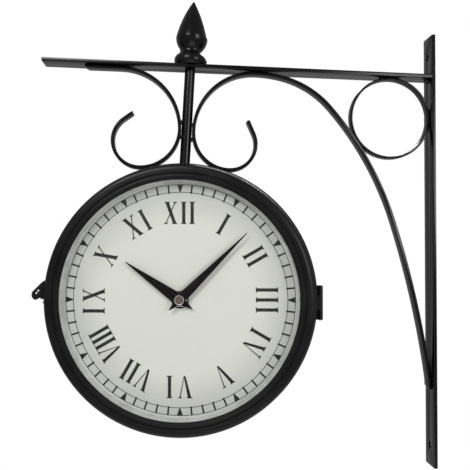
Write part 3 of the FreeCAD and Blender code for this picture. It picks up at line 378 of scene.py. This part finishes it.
# %% Spun aluminium
TOOL_MARK_MM, MARK_SHARE, SHEEN_MM = 0.6, 0.12, 9
MARK_DEPTH = 0.012 * MM
spun_ring, tree, shader = material("lacquered_spun_aluminium", Metallic=0.55)
radius, local = from_axis(tree)
cuts = add(tree, "ShaderNodeMath", {0: radius, 1: grains(TOOL_MARK_MM) * math.tau},
           operation="MULTIPLY")
rings = add(tree, "ShaderNodeMath", {0: cuts.outputs[0]}, operation="SINE")
cloud = add(tree, "ShaderNodeTexNoise", {
    "Vector": local, "Scale": grains(SHEEN_MM), "Detail": 4.0})
blend = add(tree, "ShaderNodeMath", {
    0: rings.outputs[0], 1: MARK_SHARE, 2: cloud.outputs["Fac"]}, operation="MULTIPLY_ADD")
tone = add(tree, "ShaderNodeValToRGB", {"Fac": blend.outputs[0]})
tone.color_ramp.elements[0].position = 0.25
tone.color_ramp.elements[0].color = linear("#C0C1BF")
tone.color_ramp.elements[1].position = 0.8
tone.color_ramp.elements[1].color = linear("#E2E3E1")
tree.links.new(tone.outputs["Color"], shader.inputs["Base Color"])
rough = add(tree, "ShaderNodeMapRange", {
    "Value": cloud.outputs["Fac"], "To Min": 0.34, "To Max": 0.5})
tree.links.new(rough.outputs[0], shader.inputs["Roughness"])
bump = add(tree, "ShaderNodeBump", {
    "Height": rings.outputs[0], "Distance": MARK_DEPTH, "Strength": 0.5})
tree.links.new(bump.outputs["Normal"], shader.inputs["Normal"])
print(spun_ring.name, "marks", TOOL_MARK_MM, "mm apart")

# %% [markdown]
# ## Flat glass
# The panes are 2 mm float glass. Glass that bends shadow rays would leave the
# dial dark and noisy, so lamps pass straight through it: Light Path swaps the
# glass for a clear shader on shadow and diffuse rays. A film of dust, seen
# only as a little roughness, keeps it real. The photograph shows next to no
# reflection in the panes, so the IOR is lower than plain glass has, as on a
# pane with an anti-reflection coat.

# %% Glass
PANE_IOR, FILM_MM, FILM_HAZE = 1.15, 30, 0.03
pane_glass, tree, shader = material("clear_float_glass")
tree.nodes.remove(shader)
where = add(tree, "ShaderNodeTexCoord").outputs["Object"]
film = add(tree, "ShaderNodeTexNoise", {
    "Vector": where, "Scale": grains(FILM_MM), "Detail": 5.0})
haze = add(tree, "ShaderNodeMapRange", {
    "Value": film.outputs["Fac"], "From Min": 0.4, "From Max": 0.8,
    "To Min": 0.0, "To Max": FILM_HAZE})
glass = add(tree, "ShaderNodeBsdfGlass", {
    "Color": linear("#FEFEFE"), "IOR": PANE_IOR, "Roughness": haze.outputs[0]})
clear = add(tree, "ShaderNodeBsdfTransparent", {"Color": linear("#FDFDFC")})
rays = add(tree, "ShaderNodeLightPath")
either = add(tree, "ShaderNodeMath", {
    0: rays.outputs["Is Shadow Ray"], 1: rays.outputs["Is Diffuse Ray"]}, operation="MAXIMUM")
pane = add(tree, "ShaderNodeMixShader", {
    0: either.outputs[0], 1: glass.outputs[0], 2: clear.outputs[0]})
tree.links.new(pane.outputs[0], tree.nodes["Material Output"].inputs["Surface"])
print(pane_glass.name, "IOR", PANE_IOR)

# %% [markdown]
# ## Metals and plastics of the works
# Most of these are behind the dials and seen when the door is open: zinc plate
# with soft cloudy crystals, nickel and brass with fine draw marks, and moulded
# plastic with a spark-eroded grain. The nickel rim and the lacquer of the hands'
# cap are made the same way. Each could have a tree of its own. They differ only
# in numbers, so one recipe serves them all: two tones mixed by a cloud of a
# given size, roughness moved by the same cloud, and a bump of a given grain. A
# Mapping node with unequal scales makes the cloud and the grain longer one way
# than another, as drawing does.


# %% One recipe for plain stock
def stock(name, first, second, cloud_mm, gloss, grain_mm, depth_mm, stretch=(1, 1, 1), **fixed):
    """Two tones in clouds, with a grain; stretch is the Mapping node's scale."""
    made, tree, shader = material(name, **fixed)
    where = add(tree, "ShaderNodeTexCoord").outputs["Object"]
    drawn = add(tree, "ShaderNodeMapping", {"Vector": where, "Scale": stretch})
    cloud = add(tree, "ShaderNodeTexNoise", {
        "Vector": drawn.outputs[0], "Scale": grains(cloud_mm), "Detail": 4.0})
    tone = add(tree, "ShaderNodeValToRGB", {"Fac": cloud.outputs["Fac"]})
    tone.color_ramp.elements[0].position = 0.3
    tone.color_ramp.elements[0].color = linear(first)
    tone.color_ramp.elements[1].position = 0.7
    tone.color_ramp.elements[1].color = linear(second)
    tree.links.new(tone.outputs["Color"], shader.inputs["Base Color"])
    rough = add(tree, "ShaderNodeMapRange", {
        "Value": cloud.outputs["Fac"], "From Min": NOISE_LOW, "From Max": NOISE_HIGH,
        "To Min": gloss[0], "To Max": gloss[1]})
    tree.links.new(rough.outputs[0], shader.inputs["Roughness"])
    grain = add(tree, "ShaderNodeTexNoise", {
        "Vector": drawn.outputs[0], "Scale": grains(grain_mm), "Detail": 2.0})
    bump = add(tree, "ShaderNodeBump", {
        "Height": grain.outputs["Fac"], "Distance": depth_mm * MM, "Strength": 0.6})
    tree.links.new(bump.outputs["Normal"], shader.inputs["Normal"])
    return made


# %% Metals
zinc_plate = stock("bright_zinc_plated_steel", "#9EA3A8", "#C6CBD0", 2.5, (0.28, 0.42),
                   0.6, 0.01, Metallic=1.0)
nickel_spring = stock("nickel_plated_spring_steel", "#A8A59E", "#CBC9C3", 1.8, (0.24, 0.36),
                      0.4, 0.008, (1, 1, 6), Metallic=1.0)
dull_nickel = stock("dull_nickel_turned_rim", "#8D8884", "#B9B5B1", 1.2, (0.3, 0.42),
                    0.3, 0.006, Metallic=0.9)
cap_lacquer = stock("brown_lacquered_cap", "#41312D", "#5A453F", 1.6, (0.4, 0.52),
                    0.5, 0.01, Metallic=0.2)
turned_brass = stock("turned_brass", "#B08A45", "#D6B36C", 1.6, (0.25, 0.38),
                     0.3, 0.008, (1, 8, 1), Metallic=1.0)
metals = (zinc_plate, nickel_spring, dull_nickel, cap_lacquer, turned_brass)
print("metals", [metal.name for metal in metals])

# %% Plastics, cell and board
black_abs = stock("black_moulded_abs", "#161617", "#212122", 12, (0.45, 0.6),
                  0.5, 0.03, Specular_IOR_Level=0.4)
white_abs = stock("white_moulded_abs", "#DEDEDA", "#EAEAE6", 8, (0.35, 0.5),
                  0.6, 0.015, Specular_IOR_Level=0.4)
white_acetal = stock("natural_white_acetal", "#DCDAD1", "#ECEBE4", 6, (0.32, 0.45),
                     0.5, 0.01, Subsurface_Weight=0.05, Subsurface_Scale=0.001)
cell_film = stock("blue_shrink_film_on_cell", "#1D4A7C", "#2B6199", 10, (0.22, 0.34),
                  1.5, 0.02, (0.2, 1, 1))
board_mask = stock("green_solder_mask_board", "#1F5A35", "#2F7546", 1.4, (0.3, 0.45),
                   0.7, 0.03)
print("materials", len(bpy.data.materials))

# %% [markdown]
# ## Finishes on the CAD nodes
# Each CAD node names the slot that its finish belongs to. A line for each of
# the 59 nodes would do, but a table from slot to material dresses all of them
# at once, and like pieces can't end up with unlike finishes.

# %% Dress the frame
finish_of_slot = {
    "bracket_black": powder_coat, "bezel_black": stove_enamel, "case_black": case_paint,
    "zinc_steel": zinc_plate, "contact_metal": nickel_spring, "glass": pane_glass,
    "dial_face": dial_sheet, "silver_ring": spun_ring, "black_hand": hand_lacquer,
    "hand_cap": dull_nickel, "brass": turned_brass, "movement_case": black_abs,
    "white_knob": white_abs, "gear_plastic": white_acetal, "battery_jacket": cell_film,
    "circuit_board": board_mask,
}
slot_of_node = {row["node"]: row["material_slot"] for row in frame["record"]["subparts"]}
body_of_node = {}
for body_name, members in frame["record"]["behaviour"]["bodies"].items():
    for member in members:
        body_of_node[member] = body_name
for name, node in nodes.items():
    dress(node, finish_of_slot[slot_of_node[name]])
print("dressed", len(nodes), "nodes from", len(finish_of_slot), "slots")

# %% [markdown]
# ## Rounded edges on the flat steel
# Rolled bar has no sharp arrises, and the coat rounds them further. Light runs
# along these edges as thin grey lines, which is most of what shows on a black
# bar. A bump could only pretend this, and not on the outline, so each sharp
# CAD bar gets a copy with a small bevel: the copy's loose triangles are merged,
# flat areas are cleared of stray edges, and a Bevel modifier rounds each edge
# that is sharper than SHARP_ABOVE.

# %% Rounded copies
WELD_TOGETHER = 1e-6
FLAT_WITHIN, SHARP_ABOVE, SMOOTH_BELOW = (math.radians(angle) for angle in (0.4, 35, 28))


def rounded(node, width_mm, segments=3):
    """Replaces a CAD node by a copy of it with rounded edges."""
    piece = twin(nodes[node], node + "_rounded")
    alone(piece)
    bpy.ops.object.mode_set(mode="EDIT")
    bpy.ops.mesh.customdata_custom_splitnormals_clear()
    bpy.ops.mesh.select_all(action="SELECT")
    bpy.ops.mesh.remove_doubles(threshold=WELD_TOGETHER)
    bpy.ops.mesh.dissolve_limited(angle_limit=FLAT_WITHIN)
    bpy.ops.object.mode_set(mode="OBJECT")
    modified(piece, "BEVEL", width=width_mm * MM, segments=segments,
             limit_method="ANGLE", angle_limit=SHARP_ABOVE, use_clamp_overlap=True)
    bpy.ops.object.shade_smooth_by_angle(angle=SMOOTH_BELOW)
    dress(piece, finish_of_slot[slot_of_node[node]])
    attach(piece, body_of_node[node])
    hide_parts(node)
    print(piece.name, "faces", len(piece.data.polygons))
    return piece


# %% Round the bars, the strips and the hands
BAR_ROUND, STRIP_ROUND = 0.45, 0.4
HAND_ROUND, HAND_SEGMENTS = 0.12, 2
for bar in ("wall_bar", "arm_bar"):
    rounded(bar, BAR_ROUND)
for bent in ("brace_scroll", "left_scroll", "corner_hoop"):
    rounded(bent, STRIP_ROUND)
for side in SIDES:
    for hand in ("hour_hand", "minute_hand"):
        rounded(side + "_" + hand, HAND_ROUND, HAND_SEGMENTS)

# %% [markdown]
# ## The nuts in the middle of the dials
# A hexagon nut with a round flange holds each movement to its dial. Its flats
# are bright zinc and its flange is black, in the lacquer of the hands.
# Two pieces would do, but it is one nut, so its copy gets two finishes: every
# face that reaches beyond the hexagon's corners belongs to the flange.

# %% Two finishes on the dial nuts
HEXAGON_REACH = 6.45 * MM
for side in SIDES:
    nut = rounded(side + "_dial_nut", HAND_ROUND, HAND_SEGMENTS)
    nut.data.materials.clear()
    dress(nut, zinc_plate, hand_lacquer)
    inward = dial_place(side).inverted()
    for face in nut.data.polygons:
        corners = [inward @ nut.data.vertices[number].co for number in face.vertices]
        face.material_index = int(max(c.xy.length for c in corners) > HEXAGON_REACH)
    print(nut.name, "flange faces", sum(f.material_index for f in nut.data.polygons))

# %% [markdown]
# ## The hour numerals
# The numerals are Roman, screen printed, set round the dial with their feet to
# the centre: thick strokes fall to the right, thin ones to the left, and each
# ends in a serif that flares out of the stroke. A text object would bring a
# typeface of its own, so the strokes are modelled. A stroke is one strip: a
# plane whose upper edge is extruded row by row, each row moved and widened,
# and a Solidify modifier gives the ink its thickness. Where strokes cross, one
# is a hair thicker, so no two faces lie in one plane.

# %% A strip of ink
INK_HEIGHT, INK_OVER = 0.045, 0.06
ON_EDGE = 1e-7


def strip(rows, ink_mm):
    """A flat strip through rows of (height, middle, width), in mm, inked."""
    y0, x0, w0 = rows[0]
    bpy.ops.object.select_all(action="DESELECT")
    bpy.ops.mesh.primitive_plane_add(size=MM, location=(x0 * MM, (y0 + 0.5) * MM, 0.0))
    piece = settled(started("stroke"))
    bpy.ops.object.mode_set(mode="EDIT")
    bpy.ops.mesh.select_all(action="SELECT")
    bpy.ops.transform.resize(value=(w0, 1.0, 1.0), center_override=(x0 * MM, y0 * MM, 0.0))
    top, width, middle = y0 + 1.0, w0, x0
    for number, (y, x, w) in enumerate(rows[1:]):
        pick("edges", lambda e, t=top: all(abs(v.co.y - t * MM) < ON_EDGE for v in e.verts))
        move = ((x - middle) * MM, (y - top) * MM, 0.0)
        if number == 0:
            bpy.ops.transform.translate(value=move)
        else:
            bpy.ops.mesh.extrude_region_move(TRANSFORM_OT_translate={"value": move})
        bpy.ops.transform.resize(value=(w / width, 1.0, 1.0),
                                 center_override=(x * MM, y * MM, 0.0))
        top, width, middle = y, w, x
    bpy.ops.object.mode_set(mode="OBJECT")
    modified(piece, "SOLIDIFY", thickness=ink_mm * MM, offset=1.0)
    return piece


# %% A stroke with its serifs
NUMERAL_HEIGHT, NUMERAL_FOOT = 18.6, 63.3
THICK, HEAVY, THIN, POINT = 2.8, 3.0, 0.95, 0
SERIF_FLARE = [(0.0, 1.0), (0.35, 0.82), (0.75, 0.34), (1.5, 0.0)]
POINT_START, POINT_GROWTH = 0.34, 0.2


def stroke(low, high, width, foot, head, ink_mm):
    """A stroke from low to high; foot and head are serif widths, or POINT for none."""

    def row(y, wide):
        return (y, low + (high - low) * y / NUMERAL_HEIGHT, wide)

    rows = []
    for y, share in SERIF_FLARE:
        flared = width + (foot - width) * share
        pointed = width * min(1.0, POINT_START + POINT_GROWTH * y)
        rows.append(row(y, flared if foot else pointed))
    for y, share in reversed(SERIF_FLARE):
        rows.append(row(NUMERAL_HEIGHT - y, width + (head - width) * share))
    return strip(rows, ink_mm)


# %% [markdown]
# The three signs are modelled once, at the origin, and copied to their places
# in each numeral. The spacing is a sign painter's: three strokes stand wide
# apart when alone, and close up beside a V. Each number in the table is where
# the sign's middle stands across its numeral, in millimetres.

# %% The three signs
signs = {
    "I": joined([stroke(0.0, 0.0, THICK, 5.3, 5.3, INK_HEIGHT)], "sign_one"),
    "V": joined([stroke(0.35, -4.0, THICK, POINT, 5.3, INK_HEIGHT),
                 stroke(0.75, 4.1, THIN, POINT, 3.9, INK_OVER)], "sign_five"),
    "X": joined([stroke(3.7, -3.1, HEAVY, 5.1, 5.0, INK_HEIGHT),
                 stroke(-4.1, 4.1, THIN, 4.1, 3.7, INK_OVER)], "sign_ten"),
}
NUMERALS = {
    1: [("I", 0.0)],
    2: [("I", -3.6), ("I", 3.6)],
    3: [("I", -8.3), ("I", 0.0), ("I", 8.3)],
    4: [("I", -8.7), ("V", 3.9)],
    5: [("V", 0.0)],
    6: [("V", -4.2), ("I", 8.7)],
    7: [("V", -7.0), ("I", 3.2), ("I", 9.7)],
    8: [("V", -8.9), ("I", -0.4), ("I", 5.1), ("I", 10.6)],
    9: [("I", -9.6), ("X", 3.5)],
    10: [("X", 0.0)],
    11: [("X", -4.4), ("I", 7.8)],
    12: [("X", -8.1), ("I", 3.0), ("I", 10.1)],
}
print("signs", list(signs), "numerals", len(NUMERALS))


# %% Set the numerals round the dial
HOURS, MINUTES = 12, 60


def turned(share):
    """A turn clockwise, as the reader sees it, by a share of the whole round."""
    return Matrix.Rotation(-math.tau * share, 4, "Z")


placed = []
for hour, spelling in NUMERALS.items():
    for sign, across in spelling:
        copy = twin(signs[sign], "numeral_part")
        shift = Matrix.Translation((across * MM, NUMERAL_FOOT * MM, 0.0))
        settled(copy, turned(hour / HOURS) @ shift)
        placed.append(copy)
numerals = joined(placed, "hour_numerals")
for sign in signs.values():
    bpy.data.objects.remove(sign, do_unlink=True)
print("numeral faces", len(numerals.data.polygons))

# %% [markdown]
# ## The minute track
# Two hairline circles with a short bar for each minute between them, and a
# solid triangle for each hour that points to the centre. Sixty marks could be
# placed in a loop, but the spin operator does it as a draughtsman would: the
# four bars and the triangle of one hour are made once and spun round to the
# other eleven. A circle is extruded and scaled into a ring.

# %% Track circles
TRACK_IN, TRACK_OUT, HAIRLINE = 89.6, 95.9, 0.55
CIRCLE_STEPS = 240
ORIGIN = (0.0, 0.0, 0.0)


def ring(inner_mm, outer_mm):
    """A flat ring round the origin."""
    bpy.ops.object.select_all(action="DESELECT")
    bpy.ops.mesh.primitive_circle_add(vertices=CIRCLE_STEPS, radius=inner_mm * MM)
    piece = started("ring")
    bpy.ops.object.mode_set(mode="EDIT")
    bpy.ops.mesh.select_all(action="SELECT")
    bpy.ops.mesh.extrude_region_move()
    share = outer_mm / inner_mm
    bpy.ops.transform.resize(value=(share, share, 1.0), center_override=ORIGIN)
    bpy.ops.mesh.select_all(action="SELECT")
    bpy.ops.mesh.normals_make_consistent(inside=False)
    bpy.ops.object.mode_set(mode="OBJECT")
    if piece.data.polygons[0].normal.z < 0:
        piece.data.flip_normals()
    modified(piece, "SOLIDIFY", thickness=INK_HEIGHT * MM, offset=1.0)
    return piece


circles = [ring(TRACK_IN, TRACK_IN + HAIRLINE), ring(TRACK_OUT, TRACK_OUT + HAIRLINE)]
print("circles", [len(circle.data.polygons) for circle in circles])

# %% Bars and triangles of one hour, spun to all twelve
BAR_WIDTH, BAR_REACH, BAR_OVERRUN = 1.45, 0.6, 0.2
TRIANGLE_WIDE, TRIANGLE_TIP, TIP_REACH = 4.9, 0.5, 0.1
marks = [strip([(TRACK_IN - TIP_REACH, 0.0, TRIANGLE_TIP), (TRACK_OUT, 0.0, TRIANGLE_WIDE),
                (TRACK_OUT + HAIRLINE, 0.0, TRIANGLE_WIDE)], INK_OVER)]
for minute in range(1, 5):
    bar = strip([(TRACK_IN - BAR_REACH, 0.0, BAR_WIDTH),
                 (TRACK_OUT + BAR_OVERRUN, 0.0, BAR_WIDTH)], INK_OVER)
    marks.append(settled(bar, turned(minute / MINUTES)))
marks = joined(marks, "marks")
bpy.ops.object.mode_set(mode="EDIT")
bpy.ops.mesh.select_all(action="SELECT")
bpy.ops.mesh.spin(steps=HOURS - 1, dupli=True, angle=math.tau * (HOURS - 1) / HOURS,
                  center=ORIGIN, axis=(0.0, 0.0, 1.0))
bpy.ops.object.mode_set(mode="OBJECT")
track = joined([*circles, marks], "minute_track")
print("track faces", len(track.data.polygons))

# %% [markdown]
# Both dials get the same print, each copy with its own mesh. The front print
# swings with the door and the rear print stays with the case.

# %% Print both dials
dial_body = {"front": "front_door", "rear": "case"}
for side, carrier in dial_body.items():
    for master in (numerals, track):
        copy = twin(master, side + "_" + master.name)
        settled(copy, dial_place(side) @ Matrix.Translation((0.0, 0.0, DIAL_FACE)))
        dress(copy, ink)
        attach(copy, carrier)
        print(copy.name, "rides on", carrier)
for master in (numerals, track):
    bpy.data.objects.remove(master, do_unlink=True)

# %% [markdown]
# ## The cap on the hands
# A small turned cap closes the centre: a bright rim round a sunk brown disc. It
# could be spun from a drawn profile, as the lathe makes it. With only one step
# to turn, insetting is quicker: a cylinder of the CAD cap's size has its outer
# face inset and pushed in, the rim is bevelled, and the disc is told from the
# rim by its distance from the axis.

# %% Hand cap
CAP_RADIUS, CAP_LOW, CAP_TOP = 4.0, 36.0, 38.0
RIM_WIDTH, DISC_SINK, DISC_SLOPE, DISC_RISE = 0.55, 0.45, 1.2, 0.2
DISC_REACH, CAP_ROUND = 3.2, 0.22
CAP_STEPS, CAP_SEGMENTS = 96, 4
CAP_SHARP, CAP_SMOOTH = (math.radians(angle) for angle in (50, 40))
bpy.ops.object.select_all(action="DESELECT")
bpy.ops.mesh.primitive_cylinder_add(
    vertices=CAP_STEPS, radius=CAP_RADIUS * MM, depth=(CAP_TOP - CAP_LOW) * MM,
    location=(0.0, 0.0, (CAP_LOW + CAP_TOP) / 2 * MM))
cap = settled(started("hand_cap"))
cap.data.materials.append(dull_nickel)
cap.data.materials.append(cap_lacquer)
bpy.ops.object.mode_set(mode="EDIT")
pick("faces", lambda f: f.normal.z > 0.9)
bpy.ops.mesh.inset(thickness=RIM_WIDTH * MM)
bpy.ops.mesh.extrude_region_move(TRANSFORM_OT_translate={"value": (0.0, 0.0, -DISC_SINK * MM)})
bpy.ops.mesh.inset(thickness=DISC_SLOPE * MM)
bpy.ops.transform.translate(value=(0.0, 0.0, DISC_RISE * MM))
pick("faces", lambda f: f.normal.z > 0.5 and f.calc_center_median().xy.length < DISC_REACH * MM)
bpy.context.active_object.active_material_index = 1
bpy.ops.object.material_slot_assign()
bpy.ops.object.mode_set(mode="OBJECT")
modified(cap, "BEVEL", width=CAP_ROUND * MM, segments=CAP_SEGMENTS,
         limit_method="ANGLE", angle_limit=CAP_SHARP)
bpy.ops.object.shade_smooth_by_angle(angle=CAP_SMOOTH)
print("cap faces", len(cap.data.polygons))

# %% A cap on each pair of hands
for side in SIDES:
    copy = settled(twin(cap, side + "_cap_turned"), dial_place(side))
    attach(copy, side + "_minute")
    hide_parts(side + "_hand_cap")
    print(copy.name, "rides on", side + "_minute")
bpy.data.objects.remove(cap, do_unlink=True)

# %% [markdown]
# ## Floor
# A pale paper floor lies well under the clock and takes its soft shadow. A
# floor with an edge would show a horizon, so this one fades out round the
# clock, and what is left of the picture is the white of the world.

# %% Floor
FLOOR_Z, FLOOR_SIZE, FIBRE_MM = -0.45, 3.0, 60
FADE_FROM, FADE_TO = 0.3, 0.7
FLOOR_CENTRE = (-0.2, 0.0, FLOOR_Z)
bpy.ops.object.select_all(action="DESELECT")
bpy.ops.mesh.primitive_plane_add(size=FLOOR_SIZE, location=FLOOR_CENTRE)
floor = settled(started("floor"))
floor_paper, tree, shader = material("white_background_paper", Roughness=0.9)
where = add(tree, "ShaderNodeTexCoord").outputs["Object"]
fibre = add(tree, "ShaderNodeTexNoise", {
    "Vector": where, "Scale": grains(FIBRE_MM), "Detail": 3.0})
tone = add(tree, "ShaderNodeValToRGB", {"Fac": fibre.outputs["Fac"]})
tone.color_ramp.elements[0].color = linear("#F4F4F3")
tone.color_ramp.elements[1].color = linear("#FBFBFA")
tree.links.new(tone.outputs["Color"], shader.inputs["Base Color"])
middle = add(tree, "ShaderNodeVectorMath", {0: where, 1: FLOOR_CENTRE}, operation="DISTANCE")
fade = add(tree, "ShaderNodeMapRange", {
    "Value": middle.outputs["Value"], "From Min": FADE_FROM, "From Max": FADE_TO},
    interpolation_type="SMOOTHSTEP")
nothing = add(tree, "ShaderNodeBsdfTransparent")
faded = add(tree, "ShaderNodeMixShader", {
    0: fade.outputs[0], 1: shader.outputs[0], 2: nothing.outputs[0]})
tree.links.new(faded.outputs[0], tree.nodes["Material Output"].inputs["Surface"])
dress(floor, floor_paper)
print("floor at", FLOOR_Z, "m, fades from", FADE_FROM, "to", FADE_TO, "m")

# %% [markdown]
# ## World
# The world is white to the camera and through glass, as the paper behind a
# product is. As a light it is a soft grey. In reflections it is only a little
# paler than that, because gloss black in an all white room would look grey:
# a photographer hangs dark cloth round black things for the same reason.

# %% World
SOFT_LIGHT, MIRRORED_SHARE = 0.3, 0.12
WHITE = linear("#FFFFFF")
world = bpy.data.worlds.new("studio")
bpy.context.scene.world = world
world.use_nodes = True
tree = world.node_tree
rays = add(tree, "ShaderNodeLightPath")
seen = add(tree, "ShaderNodeMath", {
    0: rays.outputs["Is Camera Ray"], 1: rays.outputs["Is Transmission Ray"]},
    operation="MAXIMUM")
mirrored = add(tree, "ShaderNodeMath", {0: rays.outputs["Is Glossy Ray"], 1: MIRRORED_SHARE},
               operation="MULTIPLY")
shown = add(tree, "ShaderNodeMath", {0: seen.outputs[0], 1: mirrored.outputs[0]},
            operation="MAXIMUM")
soft_light = add(tree, "ShaderNodeBackground", {"Color": WHITE, "Strength": SOFT_LIGHT})
white = add(tree, "ShaderNodeBackground", {"Color": WHITE, "Strength": 1.0})
both = add(tree, "ShaderNodeMixShader", {
    0: shown.outputs[0], 1: soft_light.outputs[0], 2: white.outputs[0]})
tree.links.new(both.outputs[0], tree.nodes["World Output"].inputs["Surface"])
print("world light", SOFT_LIGHT)

# %% [markdown]
# ## Lamps
# The world alone could light the clock, but lamps draw its edges. All four are
# round. Key and fill stand in front, 0.7 m across, because smaller ones drew
# jagged, over-bright lines along the bars. The low one lifts the undersides.
# The one behind lights the rear dial. It stands on the wall's side of the
# bracket, because elsewhere the wall bar mirrored it as a white stripe. Each is
# aimed by turning its own -Z towards one point.

# %% Lamps
AIM = Vector((-0.22, 0.0, 0.0))
for name, where, size, power in (
    ("key", (-0.95, -1.3, 0.95), 0.7, 16.0),
    ("fill", (0.85, -1.35, 0.35), 0.7, 9.5),
    ("back", (0.4, 1.5, 1.3), 1.3, 24.0),
    ("low", (-0.2, -0.9, -1.0), 1.0, 4.5),
):
    data = bpy.data.lights.new(name, "AREA")
    data.shape, data.size, data.energy = "DISK", size, power
    lamp = bpy.data.objects.new(name, data)
    bpy.context.scene.collection.objects.link(lamp)
    lamp.location = where
    lamp.rotation_euler = (AIM - Vector(where)).to_track_quat("-Z", "Y").to_euler()
    print(name, "lamp", power, "W")

# %% [markdown]
# ## Camera
# The photograph was taken from close by, from in front of the dial and a few
# centimetres above its middle, looking slightly up and to the right. The camera
# could be set by eye. Here its place, angle and lens were worked out from the
# bracket's parallel edges and the two round rims.

# %% Camera
CAMERA_PLACE = (-0.2302, -0.5616, 0.0033)
LOOKS_UP, LOOKS_RIGHT = 1.05, 4.97
LENS, SENSOR = 48.41, 36.0
camera_data = bpy.data.cameras.new("camera")
camera_data.sensor_width = SENSOR
camera_data.lens = LENS
camera = bpy.data.objects.new("camera", camera_data)
bpy.context.scene.collection.objects.link(camera)
camera.location = CAMERA_PLACE
camera.rotation_euler = (math.radians(90 + LOOKS_UP), 0.0, math.radians(-LOOKS_RIGHT))
camera_data.clip_start = 0.01
bpy.context.scene.camera = camera
bpy.context.scene.view_settings.view_transform = "Standard"
print("camera at", CAMERA_PLACE, "lens", LENS)

# %% The end
bpy.context.view_layer.update()
